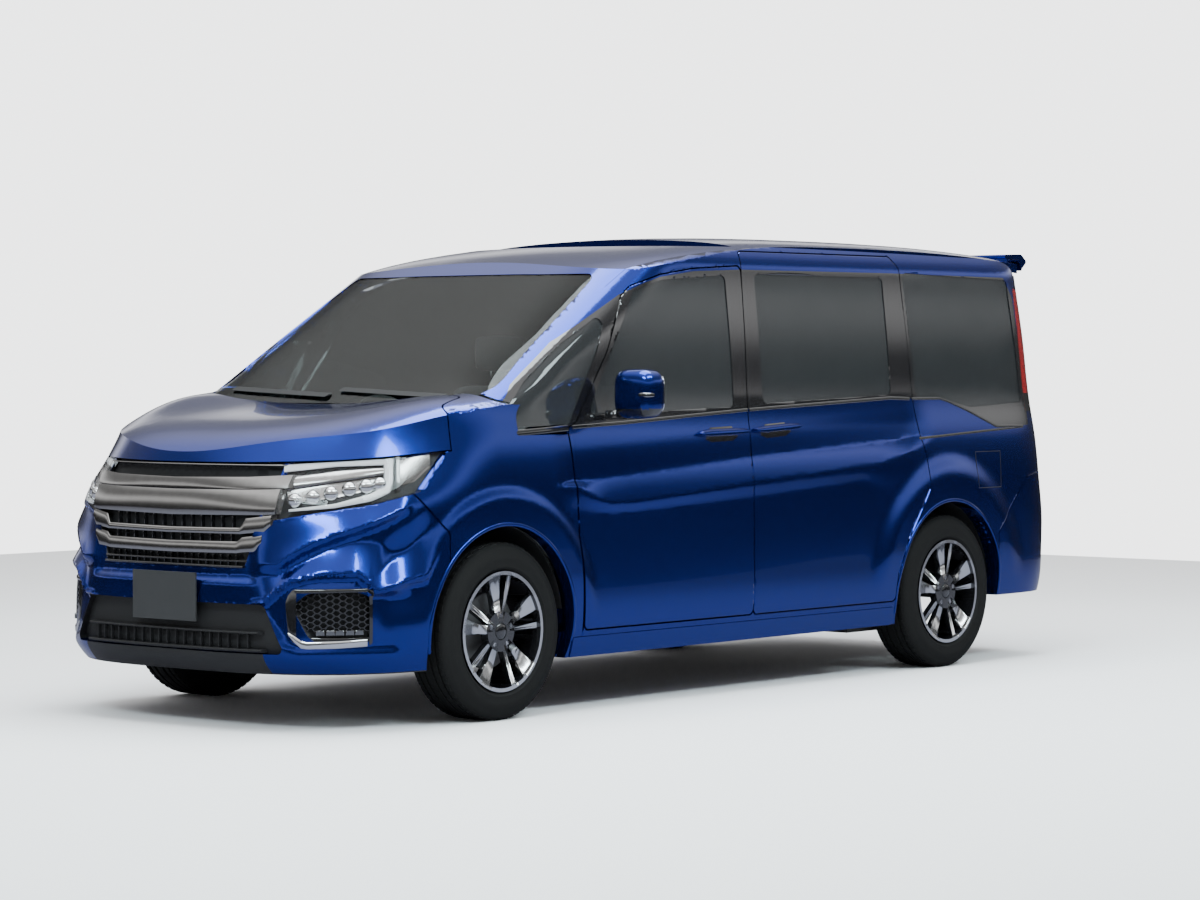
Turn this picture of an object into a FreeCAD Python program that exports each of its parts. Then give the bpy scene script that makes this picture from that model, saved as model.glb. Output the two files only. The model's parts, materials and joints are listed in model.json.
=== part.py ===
import FreeCAD, Part
import os
import math

# Boxy family minivan, right-hand drive, in millimetres.
# +X points forward, +Y to the left, +Z up. The origin is on the ground, below the middle of the car.

V = FreeCAD.Vector
os.makedirs("parts", exist_ok=True)
doc = FreeCAD.newDocument("Minivan")

# Driving dimensions
SIZES = {
    # whole body
    "noseReach": 2366, "tailReach": 2375.6, "bodyHalfWidth": 847.5, "roofHeight": 1840,
    "frontAxleAt": 1470, "rearAxleAt": -1420, "sillBottom": 205, "sillTop": 305,
    "beltHeight": 1130, "beltHalfWidth": 812, "railHeight": 1670, "railHalfWidth": 748,
    "sideBow": 6, "sillTuck": 30, "frameDepth": 60, "postDepth": 140,
    # panels
    "doorDepth": 85, "skinDepth": 42, "roofDepth": 40, "panelGap": 6, "seatGap": 0.3,
    "glassThick": 5, "glassSink": 4,
    # front end
    "bonnetRearHeight": 1155, "bonnetFrontHeight": 1072, "bonnetRoll": 150, "cowlLift": 62,
    "bonnetDepth": 35,
    "cowlAt": 1600, "screenFootAt": 1582, "screenTopAt": 690, "screenTopHeight": 1700,
    "bPostAt": -25, "frontDoorAt": 1058, "slideRearAt": -1200, "tailgateHalfWidth": 655,
    # wheels and what carries them
    "wheelRadius": 327, "tyreWidth": 205, "trackHalf": 735, "rimRadius": 234, "archRadius": 389,
    "hubRadius": 74, "boreRadius": 32, "discRadius": 140, "linerInner": 440,
    "steerAxisHalf": 668, "strutHalf": 585,
    # cabin
    "floorHeight": 330, "floorThick": 30, "floorHalf": 688, "rearFloorHalf": 540,
    "steeringRadius": 185, "steeringTilt": 24,
}

sheet = doc.addObject("Spreadsheet::Sheet", "Sizes")
for row, (alias, number) in enumerate(SIZES.items(), start=1):
    sheet.set("A%d" % row, alias)
    sheet.set("B%d" % row, str(number))
    sheet.setAlias("B%d" % row, alias)
doc.recompute()


def size(alias):
    return float(sheet.get(alias))


nose = size("noseReach")
tail = size("tailReach")
body_half = size("bodyHalfWidth")
roof_top = size("roofHeight")
front_axle = size("frontAxleAt")
rear_axle = size("rearAxleAt")
sill_bottom = size("sillBottom")
sill_top = size("sillTop")
belt = size("beltHeight")
rail = size("railHeight")
gap = size("panelGap")
seat_gap = size("seatGap")
skin = size("skinDepth")
door_depth = size("doorDepth")
wheel_r = size("wheelRadius")
track = size("trackHalf")
arch_r = size("archRadius")
floor_z = size("floorHeight")
cowl_at = size("cowlAt")
b_post = size("bPostAt")
door_front = size("frontDoorAt")
slide_rear = size("slideRearAt")


# Shape helpers

def spline(points):
    """Natural cubic through (place, value) points, as a function of the place."""
    xs = [p[0] for p in points]
    ys = [p[1] for p in points]
    count = len(xs)
    step = [xs[i + 1] - xs[i] for i in range(count - 1)]
    lower = [0.0] * count
    upper = [0.0] * count
    bend = [0.0] * count
    for i in range(1, count - 1):
        slope = (ys[i + 1] - ys[i]) / step[i] - (ys[i] - ys[i - 1]) / step[i - 1]
        pivot = 2 * (step[i] + step[i - 1]) - step[i - 1] * lower[i - 1]
        lower[i] = step[i] / pivot
        upper[i] = (6 * slope - step[i - 1] * upper[i - 1]) / pivot
    for i in range(count - 2, 0, -1):
        bend[i] = upper[i] - lower[i] * bend[i + 1]

    def value(x):
        i = 0
        while i < count - 2 and x > xs[i + 1]:
            i += 1
        a = (xs[i + 1] - x) / step[i]
        b = (x - xs[i]) / step[i]
        curve = ((a ** 3 - a) * bend[i] + (b ** 3 - b) * bend[i + 1]) * step[i] ** 2 / 6
        return a * ys[i] + b * ys[i + 1] + curve
    return value


def surface(rows):
    """Smooth face through a grid of points."""
    patch = Part.BSplineSurface()
    patch.interpolate(rows)
    return patch.toShape()


def closed(faces):
    """Solid from faces that share their edges."""
    solid = Part.makeSolid(Part.makeShell(faces))
    if solid.Volume < 0:
        solid.reverse()
    return solid


def flat(edges):
    return Part.Face(Part.Wire(Part.__sortEdges__(edges)))


def box(low, high):
    size_xyz = V(*high) - V(*low)
    return Part.makeBox(size_xyz.x, size_xyz.y, size_xyz.z, V(*low))


def smooth_loop(points, radius):
    """Closed outline through corner points, each corner rounded by radius."""
    count = len(points)
    edges = []
    ends = []
    for i in range(count):
        here = points[i]
        before = points[i - 1] - here
        after = points[(i + 1) % count] - here
        turn = before.getAngle(after)
        reach = min(max(radius / math.tan(turn / 2), 12.0), before.Length * 0.45, after.Length * 0.45)
        ends.append((here + before.normalize() * reach, here, here + after.normalize() * reach))
    for i in range(count):
        start, here, stop = ends[i]
        half_turn = (start - here).getAngle(stop - here) / 2
        bisector = ((start + stop) * 0.5 - here).normalize()
        middle = here + bisector * ((start - here).Length * (1 - math.sin(half_turn)) / math.cos(half_turn))
        edges.append(Part.Arc(start, middle, stop).toShape())
        edges.append(Part.LineSegment(stop, ends[(i + 1) % count][0]).toShape())
    return Part.Wire(edges)


def grown(outline, grow):
    """Outline with every side moved outwards by grow."""
    ring = [V(a, b, 0) for a, b in outline]
    count = len(ring)
    area = sum(ring[i - 1].cross(ring[i]).z for i in range(count))
    outward = grow if area > 0 else -grow
    result = []
    for i, here in enumerate(ring):
        before = (here - ring[i - 1]).normalize()
        after = (ring[(i + 1) % count] - here).normalize()
        both_normals = V(before.y + after.y, -before.x - after.x, 0)
        moved = here + both_normals * (outward / (1 + before.dot(after)))
        result.append((moved.x, moved.y))
    return result


def side_prism(outline, grow=0.0, radius=25, low=500, high=1000):
    """Outline of (x, z) points, pushed through the left side of the body along Y."""
    wire = smooth_loop([V(x, low, z) for x, z in grown(outline, grow)], radius)
    return Part.Face(wire).extrude(V(0, high - low, 0))


def plan_prism(outline, grow=0.0, radius=40, low=850, high=1400):
    """Outline of (x, y) points, pushed up along Z."""
    wire = smooth_loop([V(x, y, low) for x, y in grown(outline, grow)], radius)
    return Part.Face(wire).extrude(V(0, 0, high - low))


def front_prism(outline, grow=0.0, radius=20, low=1500, high=2600):
    """Outline of (y, z) points, pushed along X."""
    wire = smooth_loop([V(low, y, z) for y, z in grown(outline, grow)], radius)
    return Part.Face(wire).extrude(V(high - low, 0, 0))


def mirrored(shape):
    return shape.mirror(V(0, 0, 0), V(0, 1, 0))


def both(shape):
    """A piece and its mirror image on the other side, as one shape."""
    return Part.makeCompound([shape, mirrored(shape)])


def solids(shape):
    """The solids of a boolean's result, without slivers."""
    kept = [s for s in shape.Solids if s.Volume > 400]
    return kept[0] if len(kept) == 1 else Part.makeCompound(kept)


# Body outline: half width at each height, and rounded plan corners at both ends
half_at = spline([
    (sill_bottom - 30, body_half - size("sillTuck") - 14), (sill_bottom + 20, body_half - size("sillTuck")),
    (sill_top + 20, body_half - 7), (480, body_half - 1), (700, body_half), (880, body_half - 3),
    (1000, body_half - 14), (belt, size("beltHalfWidth")), (1400, 782), (rail, size("railHalfWidth")),
    (rail + 60, size("railHalfWidth") - 12), (rail + 110, size("railHalfWidth") - 42)])
nose_at = spline([(175, nose - 70), (250, nose), (360, nose + 8), (480, nose), (600, nose - 5), (720, nose - 16),
                  (850, nose - 34), (950, nose - 60), (1060, nose - 105), (1200, nose - 170)])
nose_round = spline([(175, 3.2), (420, 3.45), (500, 3.4), (660, 3.1), (800, 3.0), (900, 2.55), (970, 2.3),
                     (1200, 2.2)])
tail_at = spline([(175, tail - 60), (300, tail - 20), (480, tail), (620, tail + 4), (780, tail - 25),
                  (1000, tail - 52), (1170, tail - 65), (1600, tail - 95), (1800, tail - 125)])
screen_slope = (size("screenFootAt") - size("screenTopAt")) / (size("screenTopHeight") - size("bonnetRearHeight"))
NOSE_START = front_axle
TAIL_START = -1700
TAIL_ROUND = 5.2
SCREEN_DEPTH = 500
SCREEN_ROUND = 5.0
END_OVERLAP = 600


def screen_at(z):
    """Centre of the windscreen at height z; straight, and upright below the cowl."""
    return size("screenFootAt") - (max(z, size("bonnetRearHeight") - 30) - size("bonnetRearHeight")) * screen_slope


def width_at(x, z):
    inner_x = min(max(x, TAIL_START), NOSE_START)
    return half_at(z) - size("sideBow") * (inner_x / NOSE_START) ** 2


def corner(start, reach, width, power, share):
    """Point on a rounded plan corner: share 0 at the side, 1 at the centre line."""
    knee = 0.5 ** (1 / power)
    if share < 0.5:
        along = knee * share * 2
        return start + along * (reach - start), width * (1 - along ** power) ** (1 / power)
    across = knee * (1 - share) * 2
    return start + (reach - start) * (1 - across ** power) ** (1 / power), width * across


def end_row(z, inset, start, reach, power, side_stations, both_sides=True, corner_steps=14):
    """One level of an end of the body: left side, round the end, and the right side."""
    left = []
    for x in side_stations:
        left.append(V(x, width_at(x, z) - inset, z))
    sign = 1 if reach > start else -1
    for k in range(corner_steps + 1):
        x, y = corner(start, reach - sign * inset, width_at(start, z) - inset, power, k / corner_steps)
        left.append(V(x, y, z))
    if not both_sides:
        return left
    right = [V(p.x, -p.y, p.z) for p in reversed(left[:-1])]
    return left + right


def slab(outer_rows, inner_rows):
    """Solid wall between two faces made from grids of the same size."""
    outer = surface(outer_rows)
    inner = surface(inner_rows)
    faces = [outer, inner]
    for outer_edge, inner_edge in zip(outer.Edges, inner.Edges):
        faces.append(Part.makeRuledSurface(outer_edge, inner_edge))
    shell = Part.makeShell(faces)
    shell.sewShape()
    solid = Part.makeSolid(shell.Shells[0] if shell.ShapeType != "Shell" else shell)
    if solid.Volume < 0:
        solid.reverse()
    return solid


def wrapped_end(levels, row_at):
    """Solid bounded by the wrapped side face, a flat back, floor and top."""
    face = surface([row_at(z) for z in levels])
    edges = face.Edges
    low = min(edges, key=lambda e: e.BoundBox.ZMax)
    high = max(edges, key=lambda e: e.BoundBox.ZMin)
    posts = [e for e in edges if not e.isSame(low) and not e.isSame(high)]

    def bridge(level_edge):
        a, b = [v.Point for v in level_edge.Vertexes]
        return Part.LineSegment(a, b).toShape()
    low_bridge = bridge(low)
    high_bridge = bridge(high)
    back = flat([posts[0], low_bridge, posts[1], high_bridge])
    return closed([face, flat([low, low_bridge]), flat([high, high_bridge]), back])


LOWER_LEVELS = [178, 215, 255, 310, 380, 480, 600, 720, 820, 900, 970, 1050, 1130, 1200]
UPPER_LEVELS = [178, 215, 255, 310, 400, 520, 650, 800, 900, 1000, 1070, 1130, 1220, 1320, 1430, 1540, 1630,
                1690, 1740, 1778]
SCREEN_LEVELS = [1043, 1080, 1130, 1220, 1320, 1430, 1540, 1630, 1690, 1740]


def nose_row(z, inset, both_sides=True):
    stations = [b_post - 75, 200, 500, 800, 1050, 1270]
    return end_row(z, inset, NOSE_START, nose_at(z), nose_round(z), stations, both_sides)


def cabin_row(z, inset, both_sides=True):
    reach = screen_at(z)
    start = reach - SCREEN_DEPTH
    back = b_post - END_OVERLAP
    stations = [back + (start - back) * k / 7 for k in range(7)]
    return end_row(z, inset, start, reach, SCREEN_ROUND, stations, both_sides)


def side_row(z, inset, both_sides=False):
    """The whole left side in one level, from the tail's centre to the screen's centre."""
    reach = screen_at(z)
    start = reach - SCREEN_DEPTH
    tail_part = end_row(z, inset, TAIL_START, -tail_at(z), TAIL_ROUND, [], False, 10)
    screen_part = end_row(z, inset, start, reach, SCREEN_ROUND, [], False, 10)
    middle = [TAIL_START + (start - TAIL_START) * k / 12 for k in range(1, 12)]
    side = [V(x, width_at(x, z) - inset, z) for x in middle]
    return tail_part[::-1] + side + screen_part


def tail_row(z, inset, both_sides=True):
    back = b_post + END_OVERLAP
    stations = [back + (TAIL_START - back) * k / 9 for k in range(9)]
    return end_row(z, inset, TAIL_START, -tail_at(z), TAIL_ROUND, stations, both_sides)


def wall(row_at, levels, outer_inset, inner_inset, both_sides=False):
    """Wall of the body between two depths below its outside face."""
    outer_rows = [row_at(z, outer_inset, both_sides) for z in levels]
    inner_rows = [row_at(z, inner_inset, both_sides) for z in levels]
    return slab(outer_rows, inner_rows)


# Bonnet and fender tops: one crowned face that rolls down to the body's outline
bonnet_slope = (size("bonnetFrontHeight") - size("bonnetRearHeight")) / (nose - cowl_at)


def bonnet_z(x, y):
    base = size("bonnetRearHeight") + (x - cowl_at) * bonnet_slope - 0.00003 * (x - cowl_at) ** 2
    ahead = max(0.0, (x - NOSE_START) / (nose - 2 - NOSE_START))
    level = (ahead ** 2.8 + (abs(y) / body_half) ** 2.8) ** (1 / 2.8)
    fade = min(1.0, max(0.0, (2100 - x) / 500))
    lift = size("cowlLift") * (abs(y) / 730) ** 2 * fade ** 2 * (3 - 2 * fade)
    return base - size("bonnetRoll") * level ** 8 + min(lift, size("cowlLift") * 1.2)


def height_rows(z_of, x_low, x_high, x_count, y_high, y_count):
    rows = []
    for i in range(x_count + 1):
        x = x_low + (x_high - x_low) * i / x_count
        rows.append([V(x, y_high * (2 * k / y_count - 1), z_of(x, y_high * (2 * k / y_count - 1)))
                     for k in range(y_count + 1)])
    return rows


# Roof: crowned across and along
roof_profile = spline([(-2420, roof_top - 62), (-2000, roof_top - 28), (-1400, roof_top - 3), (-800, roof_top),
                       (-200, roof_top - 14), (300, roof_top - 62), (600, roof_top - 113), (900, roof_top - 195)])


def roof_z(x, y):
    return roof_profile(x) - 34 * (abs(y) / 700) ** 2 - 26 * (abs(y) / 740) ** 10


BONNET_GRID = (900, 2460, 26, 900, 24)
ROOF_GRID = (-2440, 900, 22, 800, 18)
bonnet_rows = height_rows(bonnet_z, *BONNET_GRID)
roof_rows = height_rows(roof_z, *ROOF_GRID)
under_bonnet = surface(bonnet_rows).extrude(V(0, 0, -1400))
above_roof = surface(roof_rows).extrude(V(0, 0, 400))


def lowered(rows, depth):
    return [[p - V(0, 0, depth) for p in row] for row in rows]


# Whole outer forms
ahead_of_post = box((b_post, -1200, 0), (2600, 1200, 2400))
behind_post = box((-2600, -1200, 0), (b_post, 1200, 2400))
nose_block = wrapped_end(LOWER_LEVELS, lambda z: nose_row(z, 0))
cabin_block = wrapped_end(UPPER_LEVELS, lambda z: cabin_row(z, 0))

# Outlines in side view, as (x, z)
FRONT_DOOR = [(door_front - 43, sill_top), (door_front, 796), (door_front + 31, 1068), (1038, 1085),
              (824, 1352), (705, 1560), (640, 1606), (456, 1655), (242, 1683), (b_post - 35, 1700),
              (b_post - 34, 1600), (b_post, belt), (b_post, sill_top)]
SLIDE_DOOR = [(b_post, sill_top), (b_post, belt), (b_post - 34, 1600), (b_post - 43, 1759),
              (slide_rear + 70, 1762), (slide_rear + 25, 1708), (slide_rear + 10, belt),
              (slide_rear - 20, 985), (slide_rear - 50, 900), (slide_rear - 50, 781),
              (slide_rear + 10, 700), (slide_rear + 117, 561), (slide_rear + 180, 420),
              (slide_rear + 180, sill_top)]
DOOR_GLASS = [(970, 1112), (628, 1588), (456, 1633), (44, 1660), (60, 1136)]
SLIDE_GLASS = [(-130, 1147), (-147, 1667), (-1045, 1669), (-1032, 1176)]
FRONT_QUARTER = [(1500, 1068), (1290, 1238), (1060, 1383), (800, 1512), (882, 1352), (1078, 1080)]
REAR_QUARTER = [(-1215, 1165), (-1195, 1694), (-2020, 1676), (-2050, 1136), (-1620, 1118), (-1400, 1160)]
BODY_SIDE = [(door_front - 37, sill_bottom), (door_front - 40, sill_top), (door_front - 40, 1046), (1560, 1046),
              (1750, 1100), (1750, 1900), (-2500, 1900), (-2500, 870), (-2039, 812),
             (-1781, 569), (-1781, sill_bottom)]
half_gap = gap / 2


def arch_cutter(axle):
    return Part.makeCylinder(arch_r, 700, V(axle, 400, wheel_r), V(0, 1, 0))


pieces = {}


def add(name, shape, at=V(0, 0, 0), turn=0):
    """One named sub-part of the document, turned by that many degrees about Y and put in place."""
    part = doc.addObject("Part::Feature", name)
    part.Shape = shape
    part.Placement = FreeCAD.Placement(at, FreeCAD.Rotation(V(0, 1, 0), turn))
    part.Label = name
    pieces[name] = part
    return part


# Doors
door_wall = wall(side_row, UPPER_LEVELS, 0, door_depth)
front_door = door_wall.common(side_prism(FRONT_DOOR, -half_gap)).cut(side_prism(DOOR_GLASS))
front_door = solids(front_door)
slide_door = door_wall.common(side_prism(SLIDE_DOOR, -half_gap)).cut(side_prism(SLIDE_GLASS))
slide_door = solids(slide_door.cut(box((-1300, 0, 1695), (300, 706, 1900))))
add("front_door_left", front_door)
add("front_door_right", mirrored(front_door))
add("slide_door_left", slide_door)
add("slide_door_right", mirrored(slide_door))

# Glass follows the skin a little below it
glass_out = size("glassSink")
glass_in = glass_out + size("glassThick")
GLASS_LEVELS = [1000, 1070, 1130, 1220, 1320, 1430, 1540, 1630, 1690, 1740]
side_sheet = wall(side_row, GLASS_LEVELS, glass_out, glass_in)
door_pane = solids(side_sheet.common(side_prism(DOOR_GLASS, -seat_gap)))
add("front_door_glass_left", door_pane)
add("front_door_glass_right", mirrored(door_pane))
fixed_panes = Part.makeCompound([solids(side_sheet.common(side_prism(SLIDE_GLASS, -seat_gap))),
                                 solids(side_sheet.common(side_prism(REAR_QUARTER, -seat_gap))),
                                 solids(side_sheet.common(side_prism(FRONT_QUARTER, -seat_gap)))])
add("side_glass_left", fixed_panes)
add("side_glass_right", mirrored(fixed_panes))

# Windscreen and its opening in front view, (y, z)
WINDSCREEN = [(-725, 1183), (-640, 1655), (640, 1655), (725, 1183), (420, 1158), (-420, 1158)]
screen_zone = front_prism(WINDSCREEN, 0, 45, 560, 1800)
screen_sheet = wall(cabin_row, GLASS_LEVELS[1:], glass_out, glass_in, True)
add("windscreen", solids(screen_sheet.common(front_prism(WINDSCREEN, -seat_gap, 45, 560, 1800))))

roof_slab = slab(roof_rows, lowered(roof_rows, size("roofDepth"))).common(box((-2150, -705, 1500), (760, 705, 1900)))

# Body sides: sill, posts behind the doors, roof rail and rear quarter, with door openings
frame_depth = size("frameDepth")
post_out = door_depth + seat_gap
post_in = size("postDepth")
floor_low = floor_z - size("floorThick")
frame_zone = side_prism(BODY_SIDE, 0, 8)
roof_cut = box((-2500, 0, 1700), (760, 705, 1900))
bonnet_raised = under_bonnet.common(box((1093, 0, 0), (2460, 900, 1400)))
bonnet_raised.translate(V(0, 0, half_gap))
rail_low = 1645
rail_high = 1742
TAILGATE = [(-size("tailgateHalfWidth"), 560), (-size("tailgateHalfWidth"), 1800),
            (size("tailgateHalfWidth"), 1800), (size("tailgateHalfWidth"), 560)]
tailgate_zone = front_prism(TAILGATE, 0, 30, -2600, -1950)
lamp_zone = box((-2600, 560, 1095), (-2080, 900, 1640))
holes = [side_prism(FRONT_DOOR, half_gap), side_prism(SLIDE_DOOR, half_gap), side_prism(FRONT_QUARTER),
         side_prism(REAR_QUARTER), screen_zone, roof_cut, above_roof, bonnet_raised, arch_cutter(rear_axle), tailgate_zone,
         lamp_zone, box((1000, 0, 0), (1800, 600, 1900)), box((-2600, 0, 0), (-2100, 500, 1900))]
frame = wall(side_row, UPPER_LEVELS + [1830], 0, frame_depth).common(frame_zone)
frame = solids(frame.cut(holes))
deep_wall = wall(side_row, UPPER_LEVELS, post_out, post_in)
posts = [box((b_post - 55, 500, sill_bottom), (b_post + 55, 900, rail_high)),
         box((door_front - 105, 500, sill_bottom), (door_front - 20, 900, 1050)),
         box((slide_rear - 130, 500, rail_low), (240, 900, rail_high))]
tie_wall = wall(side_row, UPPER_LEVELS, frame_depth - 10, post_in - 1)
ties = [box((-1020, 500, sill_bottom), (1095, 900, floor_low - seat_gap)),
        box((b_post - 40, 500, 1709), (240, 900, rail_high - 1)),
        box((slide_rear - 130, 500, rail_low + 1), (slide_rear - 60, 900, rail_high - 1))]
fender_post = wall(side_row, UPPER_LEVELS, skin + seat_gap, post_in - 1).common(
    box((1096, 500, 860), (1180, 900, 1044)))
post_link = wall(side_row, UPPER_LEVELS, post_out + gap * 2, post_in - 2).common(
    box((door_front - 40, 500, 865), (1110, 900, 1040)))
inner = [solids(deep_wall.common(one)) for one in posts]
inner += [solids(tie_wall.common(one)) for one in ties]
body_side = frame.fuse(inner + [fender_post, post_link])
hinge_room = Part.makeCylinder(120, 400, V(1045, 845, 660)).common(box((900, 600, 660), (1094, 761, 1060)))
body_side = solids(body_side.cut([roof_slab, hinge_room]))
add("body_side_left", body_side)
add("body_side_right", mirrored(body_side))

# Roof panel
roof = roof_slab.common(box((-2150, -705 + seat_gap, 1500), (760, 705 - seat_gap, 1900)))
roof = roof.common(cabin_block.fuse(box((-2600, -800, 178), (-100, 800, 1900)))).cut(screen_zone)
add("roof", solids(roof))

# Tailgate, its glass and the roof spoiler
TAIL_GLASS = [(-600, 1120), (-585, 1660), (585, 1660), (600, 1120)]
tail_wall = wall(tail_row, UPPER_LEVELS, 0, frame_depth, True)
tailgate = tail_wall.common(front_prism(TAILGATE, -gap, 30, -2600, -2156))
tail_glass_zone = front_prism(TAIL_GLASS, 0, 40, -2600, -1950)
add("tailgate", solids(tailgate.cut(tail_glass_zone)))
tail_sheet = wall(tail_row, GLASS_LEVELS, glass_out, glass_in, True)
add("tailgate_glass", solids(tail_sheet.common(front_prism(TAIL_GLASS, -seat_gap, 40, -2600, -1950))))
spoiler_side = Part.Face(smooth_loop([V(-2150.3, -640, 1797), V(-2285, -640, 1801), V(-2330, -640, 1768),
                                      V(-2290, -640, 1735), V(-2284, -640, 1722), V(-2268, -640, 1778.3),
                                      V(-2150.3, -640, 1778.3)], 5))
add("rear_spoiler", spoiler_side.extrude(V(0, 1280, 0)))

# Tail lamps on the rear corners
lamp_box = box((-2600, 662, 1095 + seat_gap), (-2080 - seat_gap, 900, 1640 - seat_gap))
tail_lamp = solids(wall(tail_row, GLASS_LEVELS, 0, 45).common(lamp_box))
add("tail_lamps", both(tail_lamp))

# Rear bumper
body_zone = side_prism(BODY_SIDE, gap, 8)
rear_bumper = tail_wall.common(box((-2600, -1000, 290), (-1500, 1000, 900)))
rear_bumper = rear_bumper.cut([body_zone, mirrored(body_zone), tailgate_zone, arch_cutter(rear_axle),
                               mirrored(arch_cutter(rear_axle))])
add("rear_bumper", solids(rear_bumper))

# Bonnet, fenders, front bumper and headlamps
BONNET = [(cowl_at, -420), (cowl_at - 65, -700), (1690, -728), (1752, -900), (2500, -900),
          (2500, 900), (1752, 900), (1690, 728), (cowl_at - 65, 700), (cowl_at, 420)]
BONNET_EDGE = [(1450, 1400), (1450, 996), (1745, 990), (2080, 960), (2440, 942), (2440, 1400)]
bonnet_zone = plan_prism(BONNET, 0, 40, 800).common(side_prism(BONNET_EDGE, 0, 5, -1000, 1000))
under_skin = surface(lowered(bonnet_rows, size("bonnetDepth"))).extrude(V(0, 0, -1400))
nose_core = wrapped_end(LOWER_LEVELS, lambda z: nose_row(z, skin)).common(under_skin)
bonnet_skin = nose_block.common(under_bonnet).cut(nose_core)
bonnet = bonnet_skin.common(plan_prism(BONNET, -gap, 40, 805))
bonnet = bonnet.common(side_prism(BONNET_EDGE, -gap, 5, -1001, 1001))
add("bonnet", solids(bonnet))

FENDER = [(door_front - 31, sill_bottom), (door_front - 31, sill_top), (door_front + 6, 796),
          (door_front + 37, 1064), (1090, 1300), (1800, 1300), (1790, 1000), (1935, 872), (1765, 700),
          (1765, sill_bottom)]
LAMP_FRONT = [(460, 868), (460, 1000), (900, 1060), (900, 850), (700, 797), (420, 742)]
LAMP_SIDE = [(2500, 700), (2500, 1100), (1725, 1100), (1725, 1005), (1880, 850)]
lamp_block = front_prism(LAMP_FRONT).common(side_prism(LAMP_SIDE, 0, 12, 200))
lamp_keep = front_prism(LAMP_FRONT, -seat_gap).common(side_prism(LAMP_SIDE, -seat_gap, 12, 200))
headlamp = wall(nose_row, LOWER_LEVELS, 0, 110).common(lamp_keep).common(under_bonnet).cut(bonnet_zone)
add("headlamps", both(solids(headlamp)))
fender_zone = side_prism(FENDER, 0, 6, 400)
cabin_clear = wall(cabin_row, SCREEN_LEVELS, -3, 300)
fender = bonnet_skin.common(fender_zone)
fender = fender.cut([bonnet_zone, arch_cutter(front_axle), lamp_block, cabin_clear,
                     box((1000, 0, 1000), (1620, 650, 1400)), body_side])
fender = solids(fender)
add("fender_left", fender)
add("fender_right", mirrored(fender))

GRILLE = [(-452, 960), (452, 960), (452, 868), (412, 742), (362, 580), (-362, 580), (-412, 742), (-452, 868)]
INTAKE = [(-455, 455), (455, 455), (545, 280), (-545, 280)]
FOG = [(560, 452), (610, 497), (742, 500), (762, 480), (762, 330), (742, 312), (650, 312), (615, 345)]


def fog_prism(grow):
    return front_prism(FOG, grow, 14, 1950)


nose_wall = wall(nose_row, LOWER_LEVELS, 0, skin, True)
bumper = nose_wall.common(box((1500, -1000, 205), (2600, 1000, 985)))
cutters = [bonnet_zone, front_prism(GRILLE), front_prism(INTAKE)]
for zone in (side_prism(FENDER, gap, 6, 400), lamp_block, arch_cutter(front_axle), fog_prism(0)):
    cutters += [zone, mirrored(zone)]
add("front_bumper", solids(bumper.cut(cutters)))

grille_back = wall(nose_row, LOWER_LEVELS, 30, 41, True)
grille = wall(nose_row, LOWER_LEVELS, 2, 41, True).common(front_prism(GRILLE, -seat_gap)).cut(bonnet_zone)
groove_wall = wall(nose_row, LOWER_LEVELS, -20, 30, True)
grooves = [groove_wall.common(box((1500, -1000, low), (2600, 1000, high)))
           for low, high in ((888, 932), (768, 790), (700, 716), (612, 642))]
grille = grille.cut(grooves)
add("grille", solids(grille))
intake = solids(grille_back.common(front_prism(INTAKE, -seat_gap)))
fog = solids(grille_back.common(fog_prism(-seat_gap)))
add("lower_grilles", Part.makeCompound([intake, fog, mirrored(fog)]))
plate_bracket = wall(nose_row, LOWER_LEVELS, -11, -seat_gap, True).common(box((2000, -120, 460), (nose + 10, 120, 545)))
add("front_plate", box((nose + 8.3, -165, 385), (nose + 14, 165, 560)).fuse(plate_bracket))

# Side skirts below the doors
SKIRT_LEVELS = [178, 215, 255, 310, 400]
skirt_zone = box((-1010, 600, sill_bottom), (1075, 1000, sill_top - 25))
front_skirt = wall(cabin_row, SKIRT_LEVELS, -5, -seat_gap).common(skirt_zone).common(ahead_of_post)
rear_skirt = wall(tail_row, SKIRT_LEVELS, -5, -seat_gap).common(skirt_zone).common(behind_post)
add("side_skirts", both(solids(front_skirt.fuse(rear_skirt))))

# Mirrors: arm, housing and glass pocket
MIRROR = [(872, 1128), (868, 1258), (900, 1288), (1030, 1284), (1064, 1240), (1058, 1150), (1030, 1122)]
mirror_middle = (968, 1205)


def mirror_wire(x, share):
    return smooth_loop([V(x, mirror_middle[0] + (y - mirror_middle[0]) * share,
                          mirror_middle[1] + (z - mirror_middle[1]) * share) for y, z in MIRROR], 30 * share)


mirror_body = Part.makeLoft([mirror_wire(790, 1), mirror_wire(830, 1), mirror_wire(870, 0.93),
                             mirror_wire(902, 0.74), mirror_wire(920, 0.42)], True, False)
mirror_body = mirror_body.cut(Part.makeLoft([mirror_wire(780, 0.9), mirror_wire(796, 0.9)], True, True))
mirror_arm = box((812, 780, 1100), (872, 905, 1142))
mirror = mirror_body.fuse(mirror_arm)
mirror = solids(mirror.cut([wall(side_row, GLASS_LEVELS, -seat_gap, 120)]))
add("mirror_left", mirror)
add("mirror_right", mirrored(mirror))

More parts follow.
